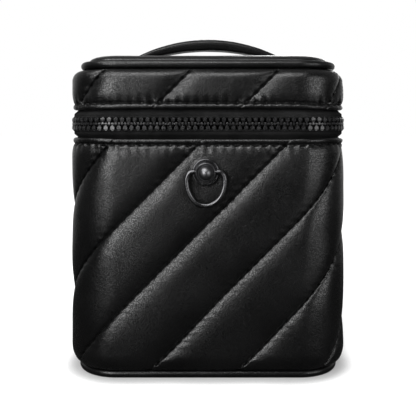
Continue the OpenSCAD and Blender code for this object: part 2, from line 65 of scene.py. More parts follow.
quilt = {
    "channels": 10,
    "seamStart": 7.7,       # where a tub seam would meet the floor, from the middle of the front
    "lidShift": 2.6,        # how far the lid's seams stand beside the line of the tub's
    "lidArc": 4.6,          # height over which the lid's wall turns in to the top
    "lidTuck": 4.4,         # how far it turns in there
    "footBow": 0.9,         # seams stand a little steeper at the foot
    "footFade": 9.5,        # height over which the channels swell from the foot
    "footTurn": (2.3, 7.5),     # how far the wall turns in at the foot, and over what height
    "footLip": (1.7, 0.42),     # and again right at the floor
    "depth": 1.9,           # how far a seam is drawn in
    "crown": (3.2, 0.7),    # how flat a channel's middle is, and how round its sides are
    "columnsPerChannel": 46,
    "gather": 0.66,         # how much closer the columns stand at the seams
    "rowStep": 0.5083,
    "stitchRise": 3.05,     # height between two stitch holes
    "pinch": 0.5,           # the crisp line right on the seam
    "pinchWidth": 0.42,
    "hole": 0.95,
    "holeSize": (0.62, 0.7),
    "pucker": 0.15,
    "puckerReach": 2.1,
    "unevenness": 0.16,     # of the filling
    "lump": 15.0,
    "creases": 0.22,        # depth of the soft creases by the seams and on the corners
    "creaseWidth": 2.2,
    "creasePatch": 11.0,
    "creaseReach": 5.0,
    "pullBelow": (4.5, 0.8),    # how far the stitching's fine creases run from a seam, and where they start
    "pullAbove": (2.5, 0.8),
    "backInset": 6.0,       # the wall's hidden side
    "studX": -1.0,
    "studZ": 89.0,
    "studDimple": 0.9,
    "dimpleReach": 8.5,
    "discReach": 6.2,       # the leather lies flat under the stud's disc
    "discInset": 0.15,
}
quarter = (cornerRadius - 0.4 * quilt["depth"]) * math.pi / 2
around = 4 * (cornerX + cornerY + quarter)
channelPitch = around / quilt["channels"]


def seamRun(z):
    # how far round the case a seam has moved at height z
    steep = np.clip((36 - z) / 24, 0, 1)
    return z + quilt["footBow"] * steep * steep * (3 - 2 * steep) + quilt["lidShift"] * (z > zipMiddle)


def report(stage):
    print("stage:", stage)


def roundCase(u, inset):
    # u runs round the case from the middle of the front, by the right side
    w = np.mod(u, around)
    back = w >= around / 2
    w = np.where(back, w - around / 2, w)
    r = cornerRadius - inset
    ends = np.cumsum([cornerX, quarter, 2 * cornerY, quarter])
    a = (w - ends[0]) / quarter * math.pi / 2
    b = (w - ends[2]) / quarter * math.pi / 2
    places = [w < ends[0], w < ends[1], w < ends[2], w < ends[3]]
    x = np.select(places, [w, cornerX + r * np.sin(a), cornerX + r, cornerX + r * np.cos(b)], around / 2 - w)
    y = np.select(places, [-cornerY - r, -cornerY - r * np.cos(a), w - ends[1] - cornerY, cornerY + r * np.sin(b)],
                  cornerY + r)
    return np.where(back, -x, x), np.where(back, -y, y)


def wallRing(u, inset, z):
    # one ring of points round the case at height z; inset is one number, or one for each point
    x, y = roundCase(u, inset + 0 * u)
    return np.stack([x, y, np.full_like(x, z)], -1)


def evenly(columns):
    # evenly spaced places round the case
    return np.arange(columns) * around / columns


def onCorner(u):
    # 1 in the middle of an upright corner, 0 on the flat sides
    w = np.mod(u, around / 2)
    first = np.abs(w - (cornerX + quarter / 2))
    second = np.abs(w - (cornerX + quarter * 1.5 + 2 * cornerY))
    return np.clip(1.15 - np.minimum(first, second) / (quarter * 0.62), 0, 1) ** 1.2


def deselectAll():
    if bpy.context.object and bpy.context.object.mode != "OBJECT":
        bpy.ops.object.mode_set(mode="OBJECT")
    bpy.ops.object.select_all(action="DESELECT")


def choose(*pieces):
    # selects the pieces, with the last one active
    deselectAll()
    for piece in pieces:
        piece.select_set(True)
    bpy.context.view_layer.objects.active = pieces[-1]


def nameIt(name):
    piece = bpy.context.object
    piece.name = name
    piece.data.name = name
    return piece


def joinAll(pieces, name):
    choose(*pieces)
    bpy.ops.object.join()
    return nameIt(name)


def settle(piece):
    choose(piece)
    bpy.ops.object.transform_apply(location=True, rotation=True, scale=True)
    for modifier in list(piece.modifiers):
        bpy.ops.object.modifier_apply(modifier=modifier.name)
    return piece


def smooth(piece, angle):
    choose(piece)
    bpy.ops.object.shade_smooth_by_angle(angle=math.radians(angle))
    return piece


def bevelled(piece, width, segments, angle):
    modifier = piece.modifiers.new("edges", "BEVEL")
    modifier.width, modifier.segments = width * mm, segments
    modifier.limit_method, modifier.angle_limit = "ANGLE", math.radians(angle)
    modifier.harden_normals = False
    return settle(piece)


def editing(piece, kind="FACE", picked="DESELECT"):
    choose(piece)
    bpy.ops.object.mode_set(mode="EDIT")
    bpy.ops.mesh.select_mode(type=kind)
    bpy.ops.mesh.select_all(action=picked)


def pickFaces(piece, test):
    mesh = bmesh.from_edit_mesh(piece.data)
    for face in mesh.faces:
        face.select_set(test(face.calc_center_median() / mm, face.normal))
    bmesh.update_edit_mesh(piece.data)


def pickPoints(piece, test):
    mesh = bmesh.from_edit_mesh(piece.data)
    for vert in mesh.verts:
        if test(vert.co / mm):
            vert.select_set(True)
    mesh.select_flush_mode()
    bmesh.update_edit_mesh(piece.data)


def raiseBy(rise, wide=1.0, deep=1.0):
    # extrudes what is selected upwards and widens the new end
    bpy.ops.mesh.extrude_region_move(TRANSFORM_OT_translate={"value": (0, 0, rise * mm)})
    if (wide, deep) != (1.0, 1.0):
        bpy.ops.transform.resize(value=(wide, deep, 1))


def finishEditing(outward=True):
    # leaves edit mode; outward first turns every face outwards
    if outward:
        bpy.ops.mesh.select_all(action="SELECT")
        bpy.ops.mesh.normals_make_consistent(inside=False)
    bpy.ops.object.mode_set(mode="OBJECT")


def fillOpenEnds():
    bpy.ops.mesh.select_non_manifold(extend=False, use_wire=False, use_boundary=True, use_multi_face=False,
                                     use_non_contiguous=False, use_verts=False)
    bpy.ops.mesh.fill_holes(sides=0)


def mergeMiddle(piece):
    # the innermost rings have shrunk to a point on the case's middle line
    editing(piece, "VERT")
    pickPoints(piece, lambda p: abs(p.x) < 1e-4 and abs(p.y) < 1e-4)
    bpy.ops.mesh.remove_doubles(threshold=0.00002)
    finishEditing()


def addPiece(name, points, faces):
    mesh = bpy.data.meshes.new(name)
    mesh.from_pydata(points.tolist(), [], faces)
    mesh.update()
    piece = bpy.data.objects.new(name, mesh)
    bpy.context.scene.collection.objects.link(piece)
    return piece


def shellOf(name, rings, joined=False):
    # a smooth mesh from rings of points in millimetres; joined runs the last ring into the first
    rings = np.asarray(rings, float)
    rows, columns = rings.shape[:2]
    index = np.arange(rows * columns).reshape(rows, columns)
    a = index if joined else index[:-1]
    b = np.roll(index, -1, axis=0) if joined else index[1:]
    quads = np.stack([a, np.roll(a, -1, 1), np.roll(b, -1, 1), b], -1)
    piece = addPiece(name, rings.reshape(-1, 3) * mm, quads.reshape(-1, 4).tolist())
    piece.data.shade_smooth()
    return piece


def copies(pattern, name, matrices):
    # one object holding a copy of the pattern's mesh at each place, the pattern is then removed
    base = np.array([v.co for v in pattern.data.vertices], float)
    faces = [tuple(p.vertices) for p in pattern.data.polygons]
    points = np.concatenate([base @ np.array(m.to_3x3()).T + np.array(m.translation) for m in matrices])
    allFaces = [tuple(i + k * len(base) for i in face) for k in range(len(matrices)) for face in faces]
    bpy.data.objects.remove(pattern)
    return addPiece(name, points, allFaces)


def noiseAt(points, size, seed):
    # smooth noise from -1 to 1 at points in millimetres; size is the width of one lump
    lift = Vector((seed * 7.31, seed * 3.17, seed * 5.53))
    flat = points.reshape(-1, 3) / size
    return np.array([noise.noise(Vector(p) + lift) for p in flat]).reshape(points.shape[:-1])


def bell(distance, width):
    # 1 at no distance, falling away smoothly over the width
    return np.exp(-(distance / width) ** 2)


def finish(piece, body, slotName, material, *replaced):
    piece.data.materials.clear()
    piece.data.materials.append(material)
    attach(piece, body)
    if replaced:
        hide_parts(*replaced)
    return piece


studio = {
    "lens": 57.6,
    "cameraAt": (0.0, -0.325, 0.109),
    "shift": -0.2,
    "floorWidth": 12.0,
    "floorColour": (0.6, 0.6, 0.6),
    "floorGlow": 0.82,
    "glowFrom": (0.08, 0.18),       # the floor turns from glow to plain white between these distances
    "contactReach": 0.011,          # the soft shadow where the case meets the floor
    "contactRange": (0.42, 1.0),
    "contactShade": 0.42,
    "mirroredShare": 0.04,          # how much of the white room gloss sees
    "roomLevel": 0.035,
    "backdropShare": 0.35,          # how much of the white behind the case grazing gloss sees
    "sideShare": 0.5,               # and the share of that which gloss sees to the sides
    "sides": (-0.5, 0.3),           # how far forward that side share reaches
    "behind": (0.3, 0.85),
    "roomTop": (0.5, 0.2),          # gloss sees the room's dark again from this height up
    "leftPool": 1.6,                # how bright the painted glow pools on the floor are, which gloss sees in place of the left and right lamps' reflections
    "leftPoolFrom": (0.15, 0.18),   # as turns round the case, where each pool starts and ends
    "leftPoolTo": (0.222, 0.188),
    "rightPool": 0.6,
    "rightPoolFrom": (0.31, 0.34),
    "rightPoolTo": (0.45, 0.41),
    "poolFade": (0.10, 0.30),
    "farFloor": (0.15, 0.6),
}
lamps = [
    # name, place, aimed at, width, height, watts
    ("leftSoftbox", (-0.48, -0.91, 0.33), (0, 0, 0.09), 0.62, 0.60, 7.6),
    ("rightSoftbox", (0.75, -0.75, 0.26), (0, 0, 0.08), 0.66, 0.56, 3.5),
    ("topSoftbox", (-0.20, -0.36, 0.66), (0, 0, 0.10), 0.80, 0.40, 5.6),
    ("rearSoftbox", (0.25, 0.95, 0.34), (0, 0, 0.09), 0.40, 0.40, 2.0),
]
white, black = (1, 1, 1, 1), (0, 0, 0, 1)


def setOrLink(tree, socket, value):
    if isinstance(value, bpy.types.NodeSocket):
        tree.links.new(value, socket)
    else:
        socket.default_value = value


def shaderNode(tree, kind, values=None, **settings):
    made = tree.nodes.new("ShaderNode" + kind)
    for key, value in settings.items():
        setattr(made, key, value)
    for key, value in (values or {}).items():
        setOrLink(tree, made.inputs[key], value)
    return made


def arithmetic(tree, operation, *values, clamp=False):
    return shaderNode(tree, "Math", dict(enumerate(values)), operation=operation, use_clamp=clamp).outputs[0]


def times(tree, first, second, clamp=False):
    return arithmetic(tree, "MULTIPLY", first, second, clamp=clamp)


def timesPlus(tree, value, factor, added):
    return arithmetic(tree, "MULTIPLY_ADD", value, factor, added)


def ramp(tree, value, low, high, toLow=0.0, toHigh=1.0):
    values = {"Value": value, "From Min": low, "From Max": high, "To Min": toLow, "To Max": toHigh}
    return shaderNode(tree, "MapRange", values, interpolation_type="SMOOTHSTEP").outputs["Result"]


def mixColour(tree, factor, first, second):
    made = shaderNode(tree, "Mix", data_type="RGBA")
    for socket, value in ((made.inputs[0], factor), (made.inputs[6], first), (made.inputs[7], second)):
        setOrLink(tree, socket, value)
    return made.outputs[2]


def opaque(colour, share=1.0):
    return tuple(share * c for c in colour) + (1,)


def coordinates(tree, kind="Object"):
    return shaderNode(tree, "TexCoord").outputs[kind]


def noiseNode(tree, place, scale, detail, roughness=0.5, distortion=0.0):
    values = {"Vector": place, "Scale": scale, "Detail": detail, "Roughness": roughness, "Distortion": distortion}
    return shaderNode(tree, "TexNoise", values).outputs


def newMaterial(name):
    material = bpy.data.materials.new(name)
    material.use_nodes = True
    tree = material.node_tree
    return material, tree, tree.nodes["Principled BSDF"]


def seenInGloss(tree):
    path = shaderNode(tree, "LightPath").outputs
    return arithmetic(tree, "MAXIMUM", path["Is Glossy Ray"], path["Is Transmission Ray"])


def seenWhite(tree):
    camera = shaderNode(tree, "LightPath").outputs["Is Camera Ray"]
    return arithmetic(tree, "MAXIMUM", camera, times(tree, seenInGloss(tree), studio["mirroredShare"]))


# a painted glow pool on the floor, between two turns round the case, seen only in gloss
def paintedLampPool(tree, turn, side):
    return times(tree, ramp(tree, turn, *studio[side + "PoolFrom"]), ramp(tree, turn, *studio[side + "PoolTo"]))


def makeFloor():
    bpy.ops.mesh.primitive_plane_add(size=studio["floorWidth"], location=(0, 0, 0))
    floor = nameIt("floor")
    material, tree, shader = newMaterial("paleFloor")
    tree.nodes.remove(shader)
    place = coordinates(tree)
    away = shaderNode(tree, "VectorMath", {0: place}, operation="LENGTH").outputs["Value"]
    # a soft shadow where the case meets the floor
    openness = shaderNode(tree, "AmbientOcclusion", {"Distance": studio["contactReach"]}, samples=16).outputs["AO"]
    clear = ramp(tree, openness, *studio["contactRange"], studio["contactShade"], 1.0)
    matte = shaderNode(tree, "BsdfDiffuse", {"Color": mixColour(tree, clear, black, opaque(studio["floorColour"]))})
    level = times(tree, ramp(tree, away, *studio["glowFrom"], studio["floorGlow"], 1.0), clear)
    glow = shaderNode(tree, "Emission", {"Color": white, "Strength": times(tree, seenWhite(tree), level)})
    both = shaderNode(tree, "AddShader", {0: matte.outputs[0], 1: glow.outputs[0]})
    # painted light: gloss sees the floor glow in pools to the left and right, painted in place of its reflection of the
    # lamps
    turn = shaderNode(tree, "TexGradient", {0: place}, gradient_type="RADIAL").outputs["Fac"]
    pools = timesPlus(tree, paintedLampPool(tree, turn, "left"), studio["leftPool"],
                      times(tree, paintedLampPool(tree, turn, "right"), studio["rightPool"]))
    pools = times(tree, pools, ramp(tree, away, *studio["poolFade"]))
    # the far floor behind the case mirrors as white as the backdrop
    facing = shaderNode(tree, "VectorMath", {0: place}, operation="NORMALIZE").outputs[0]
    depth = shaderNode(tree, "SeparateXYZ", {0: facing}).outputs["Y"]
    behind = times(tree, ramp(tree, depth, *studio["behind"]), ramp(tree, away, *studio["farFloor"]))
    pools = timesPlus(tree, behind, studio["backdropShare"], pools)
    mirrored = arithmetic(tree, "ADD", pools, studio["mirroredShare"])
    faint = shaderNode(tree, "Emission", {"Color": white, "Strength": mirrored})
    chosen = shaderNode(tree, "MixShader", {0: seenInGloss(tree), 1: both.outputs[0], 2: faint.outputs[0]})
    tree.links.new(chosen.outputs[0], tree.nodes["Material Output"].inputs["Surface"])
    floor.data.materials.append(material)


def makeWorld():
    world = bpy.data.worlds.new("studioRoom")
    world.use_nodes = True
    tree = world.node_tree
    room = mixColour(tree, seenWhite(tree), opaque((studio["roomLevel"],) * 3), white)
    facing = shaderNode(tree, "SeparateXYZ", {0: coordinates(tree, "Generated")}).outputs
    behind = times(tree, ramp(tree, facing["Y"], *studio["behind"]), ramp(tree, facing["Z"], *studio["roomTop"]))
    behind = timesPlus(tree, ramp(tree, facing["Y"], *studio["sides"]), studio["sideShare"], behind)
    share = times(tree, times(tree, behind, seenInGloss(tree)), studio["backdropShare"])
    background = tree.nodes["Background"].inputs
    tree.links.new(mixColour(tree, share, room, white), background["Color"])
    background["Strength"].default_value = 1.0
    bpy.context.scene.world = world


def makeLamps():
    for name, place, target, width, height, watts in lamps:
        bpy.ops.object.light_add(type="AREA", location=place)
        lamp = bpy.context.object
        lamp.name = name
        lamp.data.shape, lamp.data.size, lamp.data.size_y = "RECTANGLE", width, height
        lamp.data.energy = watts
        lamp.rotation_euler = (Vector(target) - Vector(place)).to_track_quat("-Z", "Y").to_euler()
        lamp.visible_camera = False


def makeCamera():
    bpy.ops.object.camera_add(location=studio["cameraAt"], rotation=(math.radians(90), 0, 0))
    camera = bpy.context.object
    camera.name = "camera"
    camera.data.lens, camera.data.shift_y = studio["lens"], studio["shift"]
    camera.data.clip_start = 0.01
    bpy.context.scene.camera = camera


makeFloor()
makeWorld()
makeLamps()
makeCamera()
bpy.context.scene.view_settings.view_transform = "Standard"
report("studio")


def newGroup(name, inputs, outputs):
    tree = bpy.data.node_groups.new(name, "ShaderNodeTree")
    for label, value in inputs.items():
        tree.interface.new_socket(label, in_out="INPUT", socket_type="NodeSocketFloat").default_value = value
    for label in outputs:
        tree.interface.new_socket(label, in_out="OUTPUT", socket_type="NodeSocketFloat")
    return tree, tree.nodes.new("NodeGroupInput").outputs


def groupResult(tree, values):
    result = tree.nodes.new("NodeGroupOutput")
    for key, value in values.items():
        tree.links.new(value, result.inputs[key])
    return tree


def placeGroup(tree, group, values):
    made = tree.nodes.new("ShaderNodeGroup")
    made.node_tree = group
    for key, value in values.items():
        setOrLink(tree, made.inputs[key], value)
    return made.outputs


def perMetre(tree, millimetres):
    return arithmetic(tree, "DIVIDE", 1000.0, millimetres)


def makeGrainGroup():
    # pebbled leather grain: cells of about Cell mm, fine pores between, and slow patches of shade
    tree, entry = newGroup("leatherGrain", {"Cell mm": 0.6, "Creases": 0.5}, ("Height", "Pores", "Tops", "Patches"))
    place = coordinates(tree)
    scale = perMetre(tree, entry["Cell mm"])
    warp = noiseNode(tree, place, 900.0, 2.0)["Color"]
    push = shaderNode(tree, "VectorMath", {0: warp, "Scale": 0.00035}, operation="SCALE").outputs[0]
    moved = shaderNode(tree, "VectorMath", {0: place, 1: push}, operation="ADD").outputs[0]
    cells = shaderNode(tree, "TexVoronoi", feature="SMOOTH_F1")
    edges = shaderNode(tree, "TexVoronoi", feature="DISTANCE_TO_EDGE")
    for pattern in (cells, edges):
        setOrLink(tree, pattern.inputs["Vector"], moved)
        setOrLink(tree, pattern.inputs["Scale"], scale)
    cells.inputs["Smoothness"].default_value = 0.55
    pores = ramp(tree, edges.outputs["Distance"], 0.0, 0.16, 1.0, 0.0)
    dome = arithmetic(tree, "SUBTRACT", 1.0, cells.outputs["Distance"])
    pebbles = timesPlus(tree, noiseNode(tree, place, 3200.0, 3.0, 0.6)["Fac"], 0.35, dome)
    long = noiseNode(tree, place, 260.0, 4.0, 0.62, 0.8)["Fac"]
    crease = ramp(tree, arithmetic(tree, "ABSOLUTE", arithmetic(tree, "SUBTRACT", long, 0.5)), 0.0, 0.05)
    height = timesPlus(tree, times(tree, crease, entry["Creases"]), 0.6, pebbles)
    patches = noiseNode(tree, place, 45.0, 3.0)["Fac"]
    return groupResult(tree, {"Height": timesPlus(tree, pores, -0.25, height), "Pores": pores,
                              "Tops": ramp(tree, pebbles, 0.66, 0.98), "Patches": patches})


def makeWearGroup():
    # 1 on rubbed edges, broken up by noise, and 1 in the hollows
    tree, entry = newGroup("edgeWearAndHollows", {"Start": 0.53, "End": 0.60, "Lump mm": 3.0}, ("Rubbed", "Hollow"))
    point = shaderNode(tree, "NewGeometry").outputs["Pointiness"]
    lumps = noiseNode(tree, coordinates(tree), perMetre(tree, entry["Lump mm"]), 4.0, 0.65)["Fac"]
    values = {"Value": point, "From Min": entry["Start"], "From Max": entry["End"]}
    edge = shaderNode(tree, "MapRange", values).outputs["Result"]
    return groupResult(tree, {"Rubbed": times(tree, edge, ramp(tree, lumps, 0.38, 0.62), clamp=True),
                              "Hollow": ramp(tree, point, 0.5, 0.44)})


def makeWeaveGroup():
    # a plain weave on the UV map, in millimetres along and across
    tree, entry = newGroup("wovenTape", {"Thread mm": 0.45}, ("Height", "Over"))
    place = shaderNode(tree, "SeparateXYZ", {0: coordinates(tree, "UV")}).outputs
    turns = arithmetic(tree, "DIVIDE", math.pi, entry["Thread mm"])
    waves = [arithmetic(tree, "SINE", times(tree, place[axis], turns)) for axis in "XY"]
    over = ramp(tree, times(tree, *waves), -0.25, 0.25)
    height = shaderNode(tree, "Mix", data_type="FLOAT")
    setOrLink(tree, height.inputs[0], over)
    for number, wave in enumerate(waves):
        setOrLink(tree, height.inputs[2 + number], arithmetic(tree, "ABSOLUTE", wave))
    fuzz = noiseNode(tree, coordinates(tree), 2600.0, 2.0)["Fac"]
    return groupResult(tree, {"Height": timesPlus(tree, fuzz, 0.5, height.outputs[0]), "Over": over})


def makeNapGroup():
    # brushed suede: a short directionless nap with finger-wide shading
    tree, entry = newGroup("suedeNap", {"Fibre mm": 0.25}, ("Height", "Shade"))
    place = coordinates(tree)
    fibre = noiseNode(tree, place, perMetre(tree, entry["Fibre mm"]), 4.0, 0.75, 1.2)["Fac"]
    brushed = noiseNode(tree, place, 60.0, 2.0, distortion=1.0)["Fac"]
    return groupResult(tree, {"Height": fibre, "Shade": timesPlus(tree, fibre, 0.45, times(tree, brushed, 0.75))})


def makeScuffGroup():
    # hairline scratches and handling marks for plastic and metal
    tree, entry = newGroup("handlingMarks", {"Spacing mm": 1.5}, ("Scratches", "Smears"))
    place = coordinates(tree)
    slanted = {"Vector": place, "Rotation": (0.3, 0.5, 0.7), "Scale": (1.0, 9.0, 2.0)}
    stretched = shaderNode(tree, "Mapping", slanted).outputs[0]
    lines = noiseNode(tree, stretched, perMetre(tree, entry["Spacing mm"]), 3.0, 0.7)["Fac"]
    smears = noiseNode(tree, place, 330.0, 3.0)["Fac"]
    return groupResult(tree, {"Scratches": ramp(tree, lines, 0.56, 0.62), "Smears": smears})


grainGroup, wearGroup, weaveGroup = makeGrainGroup(), makeWearGroup(), makeWeaveGroup()
napGroup, scuffGroup = makeNapGroup(), makeScuffGroup()


def complete(tree, shader, colour, roughness, height, strength, distance, constants):
    # joins the changing values to the shader and sets its fixed ones; the bump's distance is in millimetres
    bump = shaderNode(tree, "Bump", {"Height": height, "Strength": strength, "Distance": distance * mm})
    tree.links.new(colour, shader.inputs["Base Color"])
    tree.links.new(roughness, shader.inputs["Roughness"])
    tree.links.new(bump.outputs["Normal"], shader.inputs["Normal"])
    for key, value in constants.items():
        shader.inputs[key].default_value = value


def seamCreases(tree, height):
    # fine closely spaced creases running away from the seams, where the stitching pulls
    along, across, pull = (shaderNode(tree, "Attribute", attribute_name=label).outputs["Fac"]
                           for label in ("seamWise", "crossWise", "seamPull"))
    place = shaderNode(tree, "CombineXYZ", {0: times(tree, along, 1.05), 1: times(tree, across, 0.085)}).outputs[0]
    lines = noiseNode(tree, place, 1.0, 2.0, distortion=0.25)["Fac"]
    where = noiseNode(tree, coordinates(tree), 80.0, 2.0)["Fac"]
    amount = times(tree, pull, ramp(tree, where, 0.38, 0.6, 0.15, 1.0))
    return timesPlus(tree, times(tree, lines, amount), 4.0, height)


softLeather = {"colour": (0.0045, 0.0045, 0.0046), "rubbed": (0.0115, 0.0115, 0.0119), "roughness": 0.21,
               "cell": 0.62, "bump": 0.40, "creases": 0.55, "gloss": 0.5}
closeLeather = {"colour": (0.0045, 0.0045, 0.0047), "rubbed": (0.014, 0.014, 0.0145), "roughness": 0.26,
                "cell": 0.45, "bump": 0.14, "creases": 0.15, "gloss": 0.5}
coarseLeather = {"colour": (0.014, 0.014, 0.0145), "rubbed": (0.035, 0.034, 0.033), "roughness": 0.55,
                 "cell": 0.8, "bump": 0.4, "creases": 0.6, "gloss": 0.35}


def makeLeather(name, look, quilted=False):
    material, tree, shader = newMaterial(name)
    grain = placeGroup(tree, grainGroup, {"Cell mm": look["cell"], "Creases": look["creases"]})
    wear = placeGroup(tree, wearGroup, {"Start": 0.53, "End": 0.62, "Lump mm": 2.5})
    colour = look["colour"]
    shade = mixColour(tree, ramp(tree, grain["Patches"], 0.3, 0.7), opaque(colour, 0.55), opaque(colour))
    shade = mixColour(tree, times(tree, grain["Pores"], 0.55), shade, opaque(colour, 0.3))
    shade = mixColour(tree, times(tree, wear["Rubbed"], 0.6), shade, opaque(look["rubbed"]))
    gloss = timesPlus(tree, grain["Patches"], 0.16, look["roughness"] - 0.08)
    gloss = timesPlus(tree, grain["Pores"], 0.12, gloss)
    gloss = timesPlus(tree, wear["Rubbed"], -0.10, gloss)
    # the finish is thick and shines on the tops of the pebbles, and is thin between them
    tree.links.new(times(tree, grain["Tops"], 1.6 * look["gloss"]), shader.inputs["Coat Weight"])
    height = seamCreases(tree, grain["Height"]) if quilted else grain["Height"]
    complete(tree, shader, shade, gloss, height, look["bump"], 0.12,
             {"Coat Roughness": look["roughness"], "Specular IOR Level": 0.58 * look["gloss"]})
    return material


def makeTapeCloth():
    material, tree, shader = newMaterial("blackZipTape")
    weave = placeGroup(tree, weaveGroup, {"Thread mm": 0.55})
    nap = placeGroup(tree, napGroup, {"Fibre mm": 0.3})
    shade = mixColour(tree, weave["Over"], opaque((0.0014, 0.0014, 0.0014)), opaque((0.005, 0.005, 0.0051)))
    shade = mixColour(tree, ramp(tree, nap["Shade"], 0.45, 0.8), shade, opaque((0.011, 0.011, 0.0112)))
    complete(tree, shader, shade, timesPlus(tree, weave["Height"], -0.12, 0.92), weave["Height"], 0.8, 0.16,
             {"Specular IOR Level": 0.13})
    return material


def makeSuede(name, dark, light):
    material, tree, shader = newMaterial(name)
    nap = placeGroup(tree, napGroup, {"Fibre mm": 0.28})
    wear = placeGroup(tree, wearGroup, {"Start": 0.52, "End": 0.6, "Lump mm": 5.0})
    shade = mixColour(tree, ramp(tree, nap["Shade"], 0.42, 0.78), opaque(dark), opaque(light))
    shade = mixColour(tree, times(tree, wear["Rubbed"], 0.25), shade, opaque(light, 1.5))
    complete(tree, shader, shade, timesPlus(tree, nap["Height"], 0.1, 0.86), nap["Height"], 0.7, 0.15,
             {"Sheen Weight": 0.5, "Sheen Roughness": 0.4, "Specular IOR Level": 0.2})
    return material


hardLooks = {
    # colour, colour where rubbed, roughness, metallic, and where the rubbing starts and ends
    "zipResin": ((0.005, 0.005, 0.0052), (0.03, 0.03, 0.031), 0.17, 0.0, 0.54, 0.66),
    "blackMetal": ((0.085, 0.085, 0.088), (0.34, 0.34, 0.35), 0.25, 1.0, 0.52, 0.64),
    "satinMetal": ((0.14, 0.14, 0.145), (0.36, 0.36, 0.37), 0.38, 1.0, 0.52, 0.66),
    "plainSteel": ((0.42, 0.42, 0.43), (0.6, 0.6, 0.6), 0.32, 1.0, 0.54, 0.66),
}


def makeHard(name):
    colour, rubbed, roughness, metallic, wearStart, wearEnd = hardLooks[name]
    material, tree, shader = newMaterial(name)
    marks = placeGroup(tree, scuffGroup, {"Spacing mm": 1.2})
    wear = placeGroup(tree, wearGroup, {"Start": wearStart, "End": wearEnd, "Lump mm": 1.0})
    shade = mixColour(tree, times(tree, wear["Rubbed"], 0.7), opaque(colour), opaque(rubbed))
    # the colour is darker in the hollows, found by pointiness
    shade = mixColour(tree, times(tree, wear["Hollow"], 0.6), shade, opaque(colour, 0.4))
    gloss = timesPlus(tree, marks["Smears"], 0.14, roughness - 0.07)
    gloss = timesPlus(tree, marks["Scratches"], 0.15, gloss)
    complete(tree, shader, shade, gloss, marks["Scratches"], 0.15, 0.02, {"Metallic": metallic})
    return material


def makeBoard(name, dark, light):
    material, tree, shader = newMaterial(name)
    nap = placeGroup(tree, napGroup, {"Fibre mm": 0.6})
    complete(tree, shader, mixColour(tree, nap["Shade"], opaque(dark), opaque(light)),
             timesPlus(tree, nap["Height"], 0.1, 0.85), nap["Height"], 0.4, 0.1, {})
    return material


def makeThread():
    material, tree, shader = newMaterial("blackThread")
    twist = shaderNode(tree, "TexWave", {"Vector": coordinates(tree), "Scale": 900.0, "Distortion": 2.0, "Detail": 2.0},
                       bands_direction="DIAGONAL").outputs["Fac"]
    shade = mixColour(tree, twist, opaque((0.0016, 0.0016, 0.0016)), opaque((0.008, 0.008, 0.0082)))
    complete(tree, shader, shade, timesPlus(tree, twist, -0.15, 0.72), twist, 0.6, 0.08, {"Specular IOR Level": 0.15})
    return material


quiltLeather = makeLeather("quiltLeather", softLeather, quilted=True)
topLeather = makeLeather("topLeather", softLeather)
trimLeather = makeLeather("trimLeather", closeLeather)
baseLeather = makeLeather("baseLeather", coarseLeather)
tapeCloth = makeTapeCloth()
liningSuede = makeSuede("liningSuede", (0.018, 0.017, 0.017), (0.05, 0.048, 0.046))
zipResin, blackMetal, satinMetal, plainSteel = (makeHard(name) for name in hardLooks)
dyedBoard = makeBoard("dyedBoard", (0.008, 0.0078, 0.0076), (0.022, 0.0215, 0.021))
blackThread = makeThread()
report("materials")


hem = {
    # the folded edge, as inset and distance from the free edge, from the stitch groove to the hidden side
    "profile": [(1.3, 2.6), (1.08, 2.46), (0.82, 2.22), (0.6, 1.88), (0.48, 1.5), (0.45, 1.15), (0.52, 0.8), (0.68, 0.5),
                (0.92, 0.25), (1.25, 0.08), (1.7, 0.0), (2.2, 0.06), (2.5, 0.28), (2.62, 0.7), (2.68, 1.6), (2.7, 3.4)],
    "groove": 2.6,
    "reach": 9.0,           # the wall is drawn in towards the groove over this height
    "drawnIn": 1.3,
    "stitchPitch": 4.08,
    "stitchInset": 1.32,
    "hole": 1.3,
    "holeSize": (0.75, 0.6),
    "pucker": 0.62,
    "puckerReach": 1.5,
    "droop": 0.5,           # the free edge bends at the case's corners
    "droopReach": 7.0,
    "slack": 0.1,
    "slackLump": 9.0,
    "slackReach": 3.0,
    "threadLength": 2.7,
    "threadRadius": 0.27,
}


def channelColumns():
    # places round the case at the foot, closer together at the seams, with each one's share of its channel
    t = np.arange(quilt["columnsPerChannel"]) / quilt["columnsPerChannel"]
    share = np.tile(t - quilt["gather"] / (2 * math.pi) * np.sin(2 * math.pi * t), quilt["channels"])
    channel = np.repeat(np.arange(quilt["channels"]), quilt["columnsPerChannel"])
    return quilt["seamStart"] + (channel + share) * channelPitch, share


def fullness(share):
    # 0 on a seam, 1 in the middle of a channel
    return np.clip(1 - np.abs(2 * share - 1) ** quilt["crown"][0], 0, 1) ** quilt["crown"][1]


